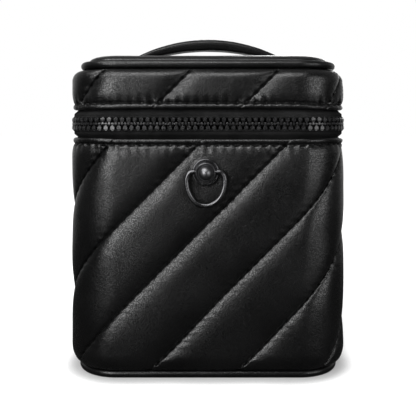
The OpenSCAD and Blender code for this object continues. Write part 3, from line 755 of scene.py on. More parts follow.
def pullSeams(inset, u, heights, fades, onBody, draws, seed):
    # the filling's lumps, the seams' stitching and the creases move the wall
    column, share = channelColumns()
    away = np.minimum(share, 1 - share) * channelPitch
    x, y = roundCase(u, inset)
    place = np.stack([x, y, np.broadcast_to(heights, u.shape)], -1)
    inset = inset + quilt["unevenness"] * noiseAt(place, quilt["lump"], seed) * fades * fullness(share)
    seamIndex = np.round((column - quilt["seamStart"]) / channelPitch).astype(int) % quilt["channels"]
    rises = (heights - tubFoot) / quilt["stitchRise"]
    strength = draws.uniform(0.35, 1.3, (quilt["channels"], 64))
    hereStrength = strength[seamIndex[None, :], np.floor(rises).astype(int) % 64]
    lip = np.exp(-away / quilt["puckerReach"]) * (1 - bell(away, 0.7))
    inset = inset + quilt["pucker"] * hereStrength * np.cos(2 * math.pi * rises) * lip[None, :] * fades
    inset = inset + quilt["pinch"] * bell(away, quilt["pinchWidth"])[None, :] * (0.7 + 0.3 * onBody)
    offHole = (rises - np.round(rises)) * quilt["stitchRise"]
    nearHole = bell(offHole, quilt["holeSize"][0]) * bell(away, quilt["holeSize"][1])[None, :]
    inset = inset + quilt["hole"] * nearHole * onBody
    # the creases run long across the seams and short along them
    turnedPlace = np.stack([(u - seamRun(heights)) * 0.25, (u + heights) * 0.9, np.zeros_like(u)], -1)
    crease = noiseAt(turnedPlace, quilt["creaseWidth"], seed + 3)
    reach = np.exp(-away / quilt["creaseReach"])[None, :] * 0.8 + 0.55 * onCorner(u)
    patch = np.clip(noiseAt(place, quilt["creasePatch"], seed + 5) + 0.15, 0, 1)
    return inset + quilt["creases"] * crease * reach * patch * fades


def pullHem(inset, u, heights, grooveZ, onBody, draws):
    # the hem's stitching pulls the wall in at each hole, each stitch with its own force
    count = round(around / hem["stitchPitch"])
    turns = u / around * count
    force = draws.uniform(0.5, 1.35, count)[np.round(turns).astype(int) % count]
    gap = np.abs(heights - grooveZ)
    wallSide = np.where(onBody > 0.5, 1.0, 0.12)
    near = np.exp(-gap / hem["puckerReach"]) * wallSide * (1 - bell(gap, 0.35) * 0.5)
    inset = inset + hem["pucker"] * force * np.cos(2 * math.pi * turns) * near
    offHole = (turns - np.round(turns)) * hem["stitchPitch"]
    return inset + hem["hole"] * force * bell(offHole, hem["holeSize"][0]) * bell(gap, hem["holeSize"][1])


def quiltGrid(rows, grooveZ, seed):
    # rings of points up a quilted wall; a row is a height, a tuck, how full the channels are, and 1 on the body
    heights, tucks, fades, onBody = (rows[:, [k]] for k in range(4))
    column, share = channelColumns()
    u = column[None, :] + seamRun(heights)
    inset = tucks + quilt["depth"] * fades * (1 - fullness(share))[None, :]
    x, y = roundCase(u, inset)
    draws = np.random.default_rng(seed)
    inset = pullSeams(inset, u, heights, fades, onBody, draws, seed)
    # the stud's disc is drawn down into the leather, which lies flat under it
    fromStud = np.hypot(x - quilt["studX"], heights - quilt["studZ"]) + 99 * (y > 0)
    inset = inset + quilt["studDimple"] * bell(fromStud, quilt["dimpleReach"]) * onBody
    under = np.clip((quilt["discReach"] - fromStud) / 1.8, 0, 1) * onBody
    inset = inset * (1 - under) + quilt["discInset"] * under
    inset = pullHem(inset, u, heights, grooveZ, onBody, draws)
    side = 1 if grooveZ > zipMiddle else -1
    fromEdge = np.abs(heights - (grooveZ - side * hem["groove"]))
    droop = -side * hem["droop"] * onCorner(u) * np.exp(-fromEdge / hem["droopReach"])
    slack = noiseAt(np.stack([x, y, np.zeros_like(x)], -1), hem["slackLump"], seed + 9)
    slack = hem["slack"] * slack * np.exp(-fromEdge / hem["slackReach"])
    x, y = roundCase(u, inset)
    return np.stack([x, y, heights + droop + slack], -1)


def footTuck(rise):
    # the wall turns in under itself at the foot
    (turn, height), (lip, lipHeight) = quilt["footTurn"], quilt["footLip"]
    return turn * np.clip(1 - rise / height, 0, 1) ** 2.3 + lip * np.exp(-rise / lipHeight)


def footFullness(rise):
    return 1 - np.clip(1 - rise / quilt["footFade"], 0, 1) ** 1.9


def lidShare(z):
    # 0 on the lid's upright wall, 1 where it has turned in to the top
    return np.clip((z - (lidTop - quilt["lidArc"])) / quilt["lidArc"], 0, 1)


def lidTuck(z):
    return quilt["lidTuck"] * (1 - np.sqrt(1 - lidShare(z) ** 2))


def nearHem(fromEdge):
    return np.clip(hem["reach"] - fromEdge, 0, None) / (hem["reach"] - hem["groove"])


def tubRows():
    wallEnd = tubTop - hem["groove"]
    body = np.concatenate([tubFoot + np.array([0, 0.12, 0.26, 0.42, 0.6, 0.8, 1.05, 1.35]),
                           np.arange(tubFoot + 1.7, wallEnd - 0.3, quilt["rowStep"]),
                           np.arange(tubTop - 7, wallEnd - 0.2, 0.4)])
    body = np.unique(body)
    near = nearHem(tubTop - body)
    tucks = footTuck(body - tubFoot) + hem["drawnIn"] * near ** 3.2
    fades = footFullness(body - tubFoot) * (1 - near ** 2.6)
    rows = [(z, t, f, 1.0) for z, t, f in zip(body, tucks, fades)]
    return np.array(rows + [(tubTop - d, i, 0.0, 0.0) for i, d in hem["profile"]])


def lidRows():
    wallStart, arc = lidFoot + hem["groove"] + 0.35, quilt["lidArc"]
    body = np.unique(np.concatenate([np.arange(wallStart, lidTop - arc, quilt["rowStep"]),
                                     np.arange(wallStart, lidFoot + 7, 0.4)]))
    body = np.concatenate([body, lidTop - arc + arc * np.sin(np.linspace(0.0, math.pi / 2, 14))])
    near = nearHem(body - lidFoot)
    tucks = hem["drawnIn"] * near ** 3.2 + lidTuck(body)
    fades = (1 - near ** 2.6) * (1 - lidShare(body) ** 4)
    rows = [(lidFoot + d, i, 0.0, 0.0) for i, d in reversed(hem["profile"])]
    return np.array(rows + [(z, t, f, 1.0) for z, t, f in zip(body, tucks, fades)])


def besideSeam(away, reach, start):
    # nothing right on the seam, most just beside it, then fading over its reach
    return np.exp(-away / reach) * (1 - np.exp(-away / start))


def makeQuiltedWall(name, rows, innerSteps, body, replaced, seed, grooveZ):
    # the hidden side runs back to the first ring
    heights = np.linspace(rows[-1, 0], rows[0, 0], innerSteps)
    if heights[0] > heights[-1]:
        heights = heights - 0.1 * (np.arange(innerSteps) == 0)
    column, share = channelColumns()
    u = column[None, :] + seamRun(heights[:, None])
    x, y = roundCase(u, np.full_like(u, quilt["backInset"]))
    inner = np.stack([x, y, np.broadcast_to(heights[:, None], u.shape)], -1)
    piece = shellOf(name, np.concatenate([quiltGrid(rows, grooveZ, seed), inner]), joined=True)
    # the leather's own measure, along and across the seams, and how far its seam pulls at it
    pull = besideSeam(share * channelPitch, *quilt["pullBelow"])
    pull = pull + 0.5 * besideSeam((1 - share) * channelPitch, *quilt["pullAbove"])
    fades = np.concatenate([rows[:, 2] * rows[:, 3], np.zeros(innerSteps)])[:, None]
    allHeights = np.concatenate([rows[:, 0], heights])[:, None]
    for label, field in (("seamWise", column + 2 * allHeights), ("crossWise", column + 0 * allHeights),
                         ("seamPull", pull * fades)):
        layer = piece.data.attributes.new(label, "FLOAT", "POINT")
        layer.data.foreach_set("value", field.astype(np.float32).ravel())
    editing(piece)
    finishEditing()
    finish(piece, body, "black_leather", quiltLeather, replaced)


makeQuiltedWall("tubQuilting", tubRows(), 8, "tub", "tub_wall", 4, tubTop - hem["groove"])
makeQuiltedWall("lidQuilting", lidRows(), 4, "lid", "lid_wall", 7, lidFoot + hem["groove"])
report("quilted walls")


def alongCase(u, inset, z, lean=0.0):
    # a place on the wall: local X runs along it, leant by an angle, local -Y faces out
    (xa, xb), (ya, yb) = roundCase(np.array([u - 0.2, u + 0.2]), inset)
    angle = math.atan2(yb - ya, xb - xa)
    spot = Vector(((xa + xb) / 2, (ya + yb) / 2, z)) * mm
    return Matrix.Translation(spot) @ Matrix.Rotation(angle, 4, "Z") @ Matrix.Rotation(-lean, 4, "Y")


thread = {
    "sides": 6,
    "straight": 0.62,       # the share of a stitch that lies straight
    "turnedIn": 1.1,        # how far its ends turn in, in radii
    "narrowed": 0.6,
}


def makeStitch(length, radius):
    # one stitch of thread lying along X, thicker in the middle, its ends turned in
    bpy.ops.mesh.primitive_cylinder_add(vertices=thread["sides"], radius=radius * mm,
                                        depth=length * thread["straight"] * mm, rotation=(0, math.pi / 2, 0))
    stitch = settle(nameIt("stitchPattern"))
    for side in (-1, 1):
        editing(stitch)
        pickFaces(stitch, lambda c, n: side * n.x > 0.9)
        step = (side * length * (1 - thread["straight"]) / 2 * mm, radius * thread["turnedIn"] * mm, 0)
        bpy.ops.mesh.extrude_region_move(TRANSFORM_OT_translate={"value": step})
        bpy.ops.transform.resize(value=(1, thread["narrowed"], thread["narrowed"]))
        finishEditing(outward=False)
    return stitch


seamStitch = {
    "lean": math.pi / 4,
    "length": 0.78,         # as a share of the run from hole to hole
    "radius": 0.26,
    "sunk": 0.62,           # as a share of the seam's pinch
    "tubEnds": (4.0, 4.2),  # how far the stitching keeps from the wall's foot and top
    "lidEnds": (4.0, 2.5),
}


def makeSeamStitches(name, low, high, body, fade, tuck):
    # tuck and fade give the wall's shape at a height
    pitch = quilt["stitchRise"]
    places = []
    for channel in range(quilt["channels"]):
        seam = quilt["seamStart"] + channel * channelPitch
        for k in range(math.ceil((low - tubFoot) / pitch), math.floor((high - tubFoot) / pitch)):
            z = tubFoot + (k + 0.5) * pitch
            inset = float(tuck(z)) + quilt["depth"] * float(fade(z)) + quilt["pinch"] * seamStitch["sunk"]
            places.append(alongCase(seam + float(seamRun(z)), inset, z, seamStitch["lean"]))
    run = pitch / math.sin(seamStitch["lean"])
    stitch = makeStitch(run * seamStitch["length"], seamStitch["radius"])
    finish(copies(stitch, name, places), body, "black_leather", blackThread)


def makeHemStitches(name, z, body, side):
    count = round(around / hem["stitchPitch"])
    places = []
    for k in range(count):
        u = (k + 0.5) * around / count
        droop = side * hem["droop"] * float(onCorner(np.array(u))) * math.exp(-hem["groove"] / hem["droopReach"])
        places.append(alongCase(u, hem["stitchInset"], z + droop))
    finish(copies(makeStitch(hem["threadLength"], hem["threadRadius"]), name, places), body, "black_leather", blackThread)


below, above = seamStitch["tubEnds"]
makeSeamStitches("tubSeamStitches", tubFoot + below, tubTop - above, "tub",
                 lambda z: footFullness(z - tubFoot), lambda z: footTuck(z - tubFoot))
below, above = seamStitch["lidEnds"]
makeSeamStitches("lidSeamStitches", lidFoot + below, lidTop - above, "lid", lambda z: 1 - lidShare(z) ** 4, lidTuck)
makeHemStitches("tubHemStitches", tubTop - hem["groove"], "tub", 1)
makeHemStitches("lidHemStitches", lidFoot + hem["groove"], "lid", -1)
report("stitching")


piping = {
    "radius": 1.8,
    "baseInset": 5.3,
    "lidInset": 5.65,
    "baseHeight": 1.8,
    "lidHeight": lidTop + 2.1,
    "cornerSteps": 28,
}


def roundedOutline(name, inset, z, cornerSteps):
    # a flat face with the case's rounded outline
    bpy.ops.mesh.primitive_plane_add(size=1, location=(0, 0, z * mm))
    plate = nameIt(name)
    plate.scale = (2 * (halfWidth - inset) * mm, 2 * (halfDepth - inset) * mm, 1)
    settle(plate)
    editing(plate, "VERT", "SELECT")
    bpy.ops.mesh.bevel(offset=(cornerRadius - inset) * mm, segments=cornerSteps, affect="VERTICES", profile=0.5)
    finishEditing(outward=False)
    return plate


def makePiping(name, inset, z, body, replaced):
    ring = roundedOutline(name, inset, z, piping["cornerSteps"])
    editing(ring, picked="SELECT")
    bpy.ops.mesh.delete(type="ONLY_FACE")
    finishEditing(outward=False)
    choose(ring)
    bpy.ops.object.convert(target="CURVE")
    ring.data.bevel_depth, ring.data.bevel_resolution = piping["radius"] * mm, 8
    ring.data.use_fill_caps = False
    bpy.ops.object.convert(target="MESH")
    ring = nameIt(name)
    ring.data.shade_smooth()
    finish(ring, body, "leather_trim", trimLeather, replaced)


makePiping("basePiping", piping["baseInset"], piping["baseHeight"], "tub", "base_piping")
makePiping("lidPiping", piping["lidInset"], piping["lidHeight"], "lid", "lid_piping")


padding = {
    # the padded top, as inset and height from its hidden edge to its flat middle
    "profile": [(7.55, -4.8), (7.4, -3.9), (7.5, -3.1), (7.95, -2.4), (8.8, -1.75), (10.2, -1.2), (12.3, -0.75),
                (15.0, -0.4), (18.5, -0.16), (21.5, 0.0)],
    "crown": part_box("lid_top_panel")[1].z / mm,
    "columns": 360,
    "slitAt": 33.0,         # the slits that the handle goes into
    "slitHalf": 6.0,
    "slitReach": (3.4, 2.5),    # how far beside and beyond a slit the padding is drawn in
    "slitDepth": 0.9,
    "lumps": ((0.3, 16.0, 2), (0.07, 3.4, 5)),
    "overCrown": 0.25,
    "edgeBand": 1.2,        # the lumps fade out this far below the crown
}


def makeTopPanel():
    u = evenly(padding["columns"])
    profile = np.array(padding["profile"])
    fine = np.linspace(0, len(profile) - 1, 40)
    insets, rises = (np.interp(fine, np.arange(len(profile)), profile[:, k]) for k in (0, 1))
    rings = [wallRing(u, inset, padding["crown"] + rise) for inset, rise in zip(insets, rises)]
    flat = rings[-1]
    for share in np.linspace(0.96, 0.0, 34):
        rings.append(flat * np.array([0.5 * share + 0.5 * share * share, share, 1.0]))
    rings = np.array(rings)
    x, y, z = rings[..., 0], rings[..., 1], rings[..., 2]
    lift = sum(height * noiseAt(rings, size, seed) for height, size, seed in padding["lumps"])
    beside, beyond = padding["slitReach"]
    for side in (-1, 1):
        away = np.hypot((x - side * padding["slitAt"]) / beside, y / (padding["slitHalf"] + beyond))
        lift = lift - padding["slitDepth"] * np.exp(-away ** 3)
    onEdge = np.clip((padding["crown"] - z) / padding["edgeBand"], 0, 1)
    rings[..., 2] = np.minimum(z + lift * (1 - onEdge), padding["crown"] + padding["overCrown"])
    piece = shellOf("lidPadding", rings)
    mergeMiddle(piece)
    piece.data.shade_smooth()
    finish(piece, "lid", "black_leather", topLeather, "lid_top_panel")


makeTopPanel()
report("piping and padded top")


zipper = {
    "pitch": 2.7,
    "rowRadius": 20.8,      # the tooth rows' line round an upright corner
    "outerInset": -0.1,
    "toothThickness": 2.6,
    "chainWidth": 5.7,
    "hingeClear": 8.1,      # what stands nearer the hinge line than this stays on the tub
    "toothReach": 0.25,     # less this, for a tooth's middle
    "rightGap": 30.4,       # how far short of the middle of the back each end of the rows stops
    "leftGap": 22.4,
    # a tooth's foot, and each step up from it: its rise, and its width and depth as shares of the step before
    "foot": (0.9, 1.9, 0.2),
    "steps": [(0.12, 1.0, 1.0), (0.1, 1.8, 1.3), (0.06, 1.05, 1.05), (1.1, 1.0, 1.0), (0.42, 0.42, 0.86), (0.3, 0.9, 1.0),
              (0.22, 1.42, 1.08), (0.28, 1.14, 1.02), (0.3, 0.98, 1.0), (0.28, 0.7, 0.9), (0.1, 0.45, 0.8)],
}
rowQuarter = zipper["rowRadius"] * math.pi / 2
rowHalf = 2 * (cornerX + cornerY + rowQuarter)
lowerEdge, upperEdge = zipMiddle - zipper["chainWidth"] / 2, zipMiddle + zipper["chainWidth"] / 2


def alongRow(u, z):
    # a place on the tooth row's line: local X runs along it, local -Y faces out
    w, side = abs(u), -1 if u < 0 else 1
    ends = np.cumsum([cornerX, rowQuarter, 2 * cornerY, rowQuarter])
    bend = 1 / zipper["rowRadius"]
    if w < ends[0]:
        x, y, angle = u, -cornerY, 0
    elif w < ends[1]:
        x, y, angle = side * cornerX, -cornerY, side * (w - ends[0]) * bend
    elif w < ends[2]:
        x, y, angle = side * cornerX, w - ends[1] - cornerY, side * math.pi / 2
    elif w < ends[3]:
        x, y, angle = side * cornerX, cornerY, side * (math.pi / 2 + (w - ends[2]) * bend)
    else:
        x, y, angle = side * (rowHalf - w), cornerY, math.pi
    return Matrix.Translation(Vector((x, y, z)) * mm) @ Matrix.Rotation(angle, 4, "Z")


def rowDepth(w):
    # how far back the row's line has come, at a distance from the middle of the front
    first = cornerX + rowQuarter
    if w < first:
        return 0
    if w < first + 2 * cornerY:
        return w - first - cornerY
    return cornerY + zipper["rowRadius"] * math.sin(min(math.pi / 2, (w - first - 2 * cornerY) / zipper["rowRadius"]))


def makeTooth():
    # a moulded tooth growing up from z 0: a foot on the tape, a broad block, a neck and a round head
    middle = zipper["outerInset"] - cornerRadius + zipper["toothThickness"] / 2
    bpy.ops.mesh.primitive_cube_add(size=1, location=(0, middle * mm, zipper["foot"][2] / 2 * mm))
    tooth = nameIt("toothPattern")
    tooth.scale = Vector(zipper["foot"]) * mm
    settle(tooth)
    editing(tooth)
    pickFaces(tooth, lambda c, n: n.z > 0.9)
    for step in zipper["steps"]:
        raiseBy(*step)
    finishEditing(outward=False)
    return tooth


def makeTeeth():
    lower, upper, ends = [], [], []
    turnOver = Matrix.Rotation(math.pi, 4, "Y")
    rightCount, leftCount = (math.floor((rowHalf - zipper[gap]) / zipper["pitch"]) for gap in ("rightGap", "leftGap"))
    for k in range(-leftCount, rightCount + 1):
        lower.append(alongRow(k * zipper["pitch"], lowerEdge))
        u = (k + 0.5) * zipper["pitch"]
        if k < rightCount:
            onTub = halfDepth - rowDepth(abs(u)) < zipper["hingeClear"] - zipper["toothReach"]
            (ends if onTub else upper).append(alongRow(u, upperEdge) @ turnOver)
    for name, body, node, places in (("zipTeethLower", "tub", "zip_teeth_lower", lower),
                                     ("zipTeethUpper", "lid", "zip_teeth_upper", upper),
                                     ("zipTeethEnds", "tub", "zip_teeth_ends", ends)):
        finish(smooth(copies(makeTooth(), name, places), 40), body, "zip_resin", zipResin, node)


tape = {
    "thickness": 0.55,
    "step": 1.4,
    "foot": 3.2,            # how far it runs down behind the leather
    "footInset": 2.9,
    "edgeInset": 0.9,
    "ripple": 0.05,
    "ripples": 92,
    "hingeHalf": 18.2,      # it stops at the leather hinge
    "offTeeth": 0.3,        # how much further round the hinge line than the teeth its ends reach
    "lidFrom": 5.4,         # from this height over the zip's middle it is all the lid's
    "endsTo": 5.25,
}


def tapeSection(low, side):
    # the tape's closed section, as inset and height over its foot; side -1 hangs it from above
    t, foot, back, edge = tape["thickness"], tape["foot"], tape["footInset"], tape["edgeInset"]
    outer = [(back, -foot), (back, -1.6), (back, -0.25), (2.45, 0.45), (1.75, 1.15), (1.15, 1.6), (edge, 2.0),
             (edge - 0.02, 2.6), (edge, 3.0), (edge - 0.28, 3.2), (edge - 0.42, 3.5), (edge - 0.25, 3.85),
             (edge + 0.25, 4.0)]
    inner = [(edge + t + 0.25, 3.85), (edge + t + 0.42, 3.5), (edge + t + 0.28, 3.2), (edge + t, 3.0), (edge + t, 2.1),
             (1.75 + t * 0.8, 1.0), (2.45 + t * 0.8, 0.3), (back + t, -0.35), (back + t, -foot)]
    return [(i, low + side * z) for i, z in outer + inner]


def addTapeUv(piece, columns, sections):
    # millimetres along and across the tape
    layer = piece.data.uv_layers.new(name="weave")
    across = np.concatenate([[0], np.cumsum([math.dist(a, b) for a, b in zip(sections, sections[1:])])])
    corners = np.empty(len(piece.data.loops), int)
    piece.data.loops.foreach_get("vertex_index", corners)
    column, row = corners % columns, corners // columns
    byFace = column.reshape(-1, 4)
    onJoin = np.repeat(byFace.max(1) - byFace.min(1) > columns / 2, 4)
    along = np.where(onJoin & (column == 0), around, column * around / columns)
    uv = np.stack([along, across[row]], -1)
    layer.data.foreach_set("uv", uv.astype(np.float32).ravel())


def makeTape(name, sections, body, replaced, keep):
    columns = round(around / tape["step"])
    u = evenly(columns)
    ripple = tape["ripple"] * np.sin(u * 2 * math.pi / around * tape["ripples"])
    rings = [wallRing(u, inset + ripple * (abs(z - zipMiddle) < 4), z) for inset, z in sections]
    piece = shellOf(name, rings, joined=True)
    addTapeUv(piece, columns, sections)
    editing(piece)
    pickFaces(piece, lambda c, n: not keep(c))
    bpy.ops.mesh.delete(type="FACE")
    bpy.ops.mesh.select_mode(type="EDGE")
    bpy.ops.mesh.select_all(action="DESELECT")
    fillOpenEnds()
    finishEditing()
    finish(smooth(piece, 50), body, "zip_tape", tapeCloth, replaced)


def makeTapes():
    def offHinge(c):
        return c.y <= 0 or abs(c.x) >= tape["hingeHalf"]

    def nearAxis(c):
        near = math.hypot(c.y - halfDepth, c.z - zipMiddle) < zipper["hingeClear"] + tape["offTeeth"]
        return near and c.y > 0 and c.z < zipMiddle + tape["lidFrom"]

    makeTape("zipTapeLower", tapeSection(tubTop, 1), "tub", "zip_tape_lower", offHinge)
    hanging = tapeSection(lidFoot, -1)
    makeTape("zipTapeUpper", hanging, "lid", "zip_tape_upper", lambda c: offHinge(c) and not nearAxis(c))
    makeTape("zipTapeEnds", hanging, "tub", "zip_tape_ends",
             lambda c: offHinge(c) and nearAxis(c) and c.z < zipMiddle + tape["endsTo"])


makeTeeth()
makeTapes()
report("zip")


handle = {
    "halfSpan": 34.7,
    "legThickness": 3.4,
    "halfWidth": 6.0,
    "outerRadius": 75.0,
    "top": 150.0,
    "gapTop": 144.9,
    "innerRadius": 100.7,
    "footZ": 135.5,
    "footThickness": 1.5,
    # the foot under the padded top, as distance from the middle and thickness
    "foot": ((35.4, 1.9), (36.6, 1.55), (38.5, 1.5), (40.5, 1.5), (42.2, 1.45), (42.7, 1.0)),
    # half the strap's section, as shares of its half width and of its thickness up from the underside
    "section": [(0.0, 1.0), (0.25, 1.0), (0.5, 0.995), (0.72, 0.985), (0.88, 0.965), (0.95, 0.935), (0.972, 0.90),
                (0.968, 0.865), (0.945, 0.84), (0.95, 0.815), (0.985, 0.78), (1.0, 0.72), (1.0, 0.62), (0.99, 0.5),
                (0.965, 0.38), (0.925, 0.27), (0.89, 0.15), (0.82, 0.07), (0.7, 0.02), (0.4, 0.0), (0.2, 0.0)],
    "layerDepth": 0.22,     # the folded layers' lines, how far along they start and over what they deepen
    "layersFrom": (0.35, 0.4),
    "seamAt": 4.6,
    "seamDepth": 0.34,
    "unevenness": 0.1,
    "lump": 7.0,
    "stitchPitch": 3.3,
    "stitchSunk": 0.3,
    "threadLength": 2.4,
    "threadRadius": 0.22,
}


def strapSection():
    # closed, from the top's middle round to it again
    right = [(y * handle["halfWidth"], t) for y, t in handle["section"]]
    left = [(-y, t) for y, t in reversed(right[1:])]
    return np.array(right + [(0.0, 0.0)] + left)


def strapStations(reach, outerZ):
    # pairs of points on the strap's upper and lower face, from its middle to the end of its foot
    innerZ = handle["gapTop"] - handle["innerRadius"]
    half, leg = handle["halfSpan"], handle["halfSpan"] - handle["legThickness"]
    stations = []
    for a in np.linspace(0, reach, 44):
        x = handle["outerRadius"] * math.sin(a)
        inner = x * leg / half
        stations.append(((x, outerZ + handle["outerRadius"] * math.cos(a)),
                         (inner, innerZ + math.sqrt(handle["innerRadius"] ** 2 - inner ** 2))))
    low = handle["footZ"] + handle["footThickness"]
    (_, outerEnd), (_, innerEnd) = stations[-1]
    for share in (0.3, 0.6, 0.85):
        stations.append(((half, outerEnd * (1 - share) + low * share),
                         (leg, innerEnd * (1 - share) + (low - 0.4) * share)))
    return stations + [((x, handle["footZ"] + thick), (x, handle["footZ"])) for x, thick in handle["foot"]]


def makeHandle():
    outerZ = handle["top"] - handle["outerRadius"]
    reach = math.asin(handle["halfSpan"] / handle["outerRadius"])
    stations = strapStations(reach, outerZ)
    stations = [((-outer[0], outer[1]), (-inner[0], inner[1])) for outer, inner in reversed(stations[1:])] + stations
    section = strapSection()
    rings = []
    for outer, inner in stations:
        across = np.array([outer[0] - inner[0], 0, outer[1] - inner[1]])
        ring = np.array([inner[0], 0, inner[1]]) + section[:, 1:2] * across
        ring[:, 1] = section[:, 0]
        rings.append(ring)
    rings = np.array(rings)
    x, y, z = rings[..., 0], rings[..., 1], rings[..., 2]
    # the folded layers show as fine lines towards the ends, and the stitching draws the top in
    length = np.abs(x) / handle["halfSpan"]
    t = np.broadcast_to(section[None, :, 1], x.shape)
    layers = bell(t - 0.55, 0.035) + bell(t - 0.3, 0.03)
    start, over = handle["layersFrom"]
    pull = handle["layerDepth"] * np.clip((length - start) / over, 0, 1) * layers
    rings[..., 1] = y - np.sign(y) * pull * (np.abs(y) > 4.5)
    seam = bell(np.abs(y) - handle["seamAt"], 0.42) * (t > 0.9)
    uneven = handle["unevenness"] * noiseAt(rings, handle["lump"], 3) * (t < 0.99)
    rings[..., 2] = z - handle["seamDepth"] * seam + uneven
    piece = shellOf("handleStrap", rings)
    editing(piece, "EDGE")
    fillOpenEnds()
    finishEditing()
    piece.data.shade_smooth()
    finish(piece, "lid", "leather_trim", trimLeather, "handle")
    # two rows of stitches along the top
    places = []
    count = round(2 * reach * handle["outerRadius"] / handle["stitchPitch"])
    radius = handle["outerRadius"] - handle["stitchSunk"]
    for side in (-1, 1):
        for k in range(1, count):
            a = -reach + 2 * reach * k / count
            spot = Vector((math.sin(a) * radius, side * handle["seamAt"], outerZ + math.cos(a) * radius)) * mm
            places.append(Matrix.Translation(spot) @ Matrix.Rotation(a, 4, "Y") @ Matrix.Rotation(-math.pi / 2, 4, "X"))
    stitch = makeStitch(handle["threadLength"], handle["threadRadius"])
    finish(copies(stitch, "handleStitches", places), "lid", "leather_trim", blackThread)


makeHandle()
report("handle")


stud = {
    "x": quilt["studX"],
    "z": quilt["studZ"],
    # each step of a turned part is its distance from the case's middle and its radius
    "disc": [(43.1, 5.6), (43.15, 5.74), (43.7, 5.78), (44.05, 5.7), (44.3, 5.5), (44.4, 5.28), (44.34, 5.06),
             (44.12, 4.9), (44.05, 4.3)],
    "collar": [(44.45, 4.0), (44.5, 4.12), (46.9, 4.16), (47.35, 4.12), (47.6, 4.0), (47.7, 3.84), (47.64, 3.66),
               (47.45, 3.54), (46.75, 3.46), (46.7, 3.3)],
    "neck": [(46.6, 1.7), (47.15, 1.62)],
    "ballMiddle": 49.65,
    "ballRadius": 3.0,
}
dropRing = {
    "wire": 1.1,
    "pivotY": 46.05,
    "pivotZ": 89.2,
    # the right half, across and up from the pivot
    "half": [(4.9, 0.0), (5.7, -0.02), (6.65, -0.38), (7.45, -1.25), (7.92, -2.6), (8.02, -4.3), (7.85, -6.1),
             (7.4, -7.9), (6.68, -9.6), (5.65, -11.2), (4.3, -12.6), (2.7, -13.6), (0.95, -14.1)],
    "pin": [(3.95, 0.55), (4.05, 0.68), (4.75, 0.7), (4.85, 0.95), (5.0, 1.05)],
}


def turned(name, steps, sides=64):
    # a round body built up along Z, each step a height and a radius
    bpy.ops.mesh.primitive_circle_add(vertices=sides, radius=steps[0][1] * mm, fill_type="NGON",
                                      location=(0, 0, steps[0][0] * mm))
    piece = settle(nameIt(name))
    editing(piece, picked="SELECT")
    for (low, wide), (high, narrow) in zip(steps, steps[1:]):
        raiseBy(high - low, narrow / wide, narrow / wide)
    finishEditing()
    return piece


def faceFront(piece):
    # stands a turned body on the front of the case
    piece.rotation_euler = (math.pi / 2, 0, 0)
    piece.location = (stud["x"] * mm, 0, stud["z"] * mm)
    return settle(piece)


def bentWire(name, points, radius, roundness=5):
    bpy.ops.curve.primitive_bezier_curve_add()
    wire = nameIt(name)
    wire.location = (0, 0, 0)
    wire.data.splines.clear()
    line = wire.data.splines.new("BEZIER")
    line.bezier_points.add(len(points) - 1)
    for spot, point in zip(points, line.bezier_points):
        point.co = Vector(spot) * mm
        point.handle_left_type = point.handle_right_type = "AUTO"
    wire.data.dimensions = "3D"
    wire.data.bevel_depth, wire.data.bevel_resolution = radius * mm, roundness
    wire.data.resolution_u = 8
    wire.data.use_fill_caps = True
    choose(wire)
    bpy.ops.object.convert(target="MESH")
    return nameIt(name)


def makeStud():
    r = stud["ballRadius"]
    angles = np.linspace(-math.pi * 0.32, math.pi / 2 - 0.02, 26)
    ball = [(stud["ballMiddle"] + r * math.sin(a), r * math.cos(a)) for a in angles]
    for name, steps, angle, material, node in (("studDisc", stud["disc"], 40, blackMetal, "stud_disc_plate"),
                                               ("studCollar", stud["collar"], 40, satinMetal, "stud_collar"),
                                               ("studBall", stud["neck"] + ball, 45, satinMetal, "stud_ball")):
        finish(smooth(faceFront(turned(name, steps)), angle), "tub", "black_metal", material, node)


def makeDropRing():
    x, y, z = pivot = stud["x"], -dropRing["pivotY"], dropRing["pivotZ"]
    right = [(x + across, y, z + up) for across, up in dropRing["half"]]
    left = [(x - across, y, z + up) for across, up in reversed(dropRing["half"])]
    wire = bentWire("dropRing", right + left, dropRing["wire"], 6)
    pins = []
    for side in (-1, 1):
        pin = turned("ringPin", dropRing["pin"], 24)
        pin.rotation_euler = (0, side * math.pi / 2, 0)
        pin.location = Vector(pivot) * mm
        pins.append(settle(pin))
    ring = joinAll((*pins, wire), "dropRing")
    finish(smooth(ring, 50), "drop_ring", "black_metal", blackMetal, "drop_ring")


makeStud()
makeDropRing()
report("stud and drop ring")


def softened(nodeName, name, width, segments, body, slotName, material, angle=32):
    # the frame's own solid with its edges eased
    choose(nodes[nodeName])
    bpy.ops.object.duplicate()
    piece = nameIt(name)
    piece.parent = None
    for key in list(piece.keys()):
        del piece[key]
    editing(piece, "VERT", "SELECT")
    bpy.ops.mesh.remove_doubles(threshold=0.00001)
    bpy.ops.mesh.dissolve_limited(angle_limit=math.radians(2))
    finishEditing(outward=False)
    smooth(bevelled(piece, width, segments, angle), angle)
    finish(piece, body, slotName, material, nodeName)


softened("zip_slider", "zipSlider", 0.16, 2, "slider", "black_metal", blackMetal)
softened("zip_puller", "zipPuller", 0.25, 3, "puller", "black_metal", blackMetal)
softened("zip_stops", "zipStops", 0.16, 2, "tub", "black_metal", blackMetal)
report("slider and puller")


hinge = {
    "half": 18.0,
    "thickness": 1.2,
    # its lower half, out from the wall's back and up: the outer face, and the inner face
    "outer": [(-2.9, 99.9), (-2.9, 101.4), (-2.9, 102.9), (-2.3, 103.6), (-1.5, 104.35), (-0.8, 105.0), (-0.25, 105.6)],
    "inner": [(-3.8, 99.9), (-3.8, 102.7), (-2.9, 103.9), (-2.1, 104.9), (-1.35, 105.8)],
    "face": -0.12,
    "outerStraight": (105.9, 34),   # where the straight part starts, and its rows
    "innerStraight": (106.2, 28),
    "columns": 61,
    "folds": 0.256,
    "bendFrom": 105.2,
}


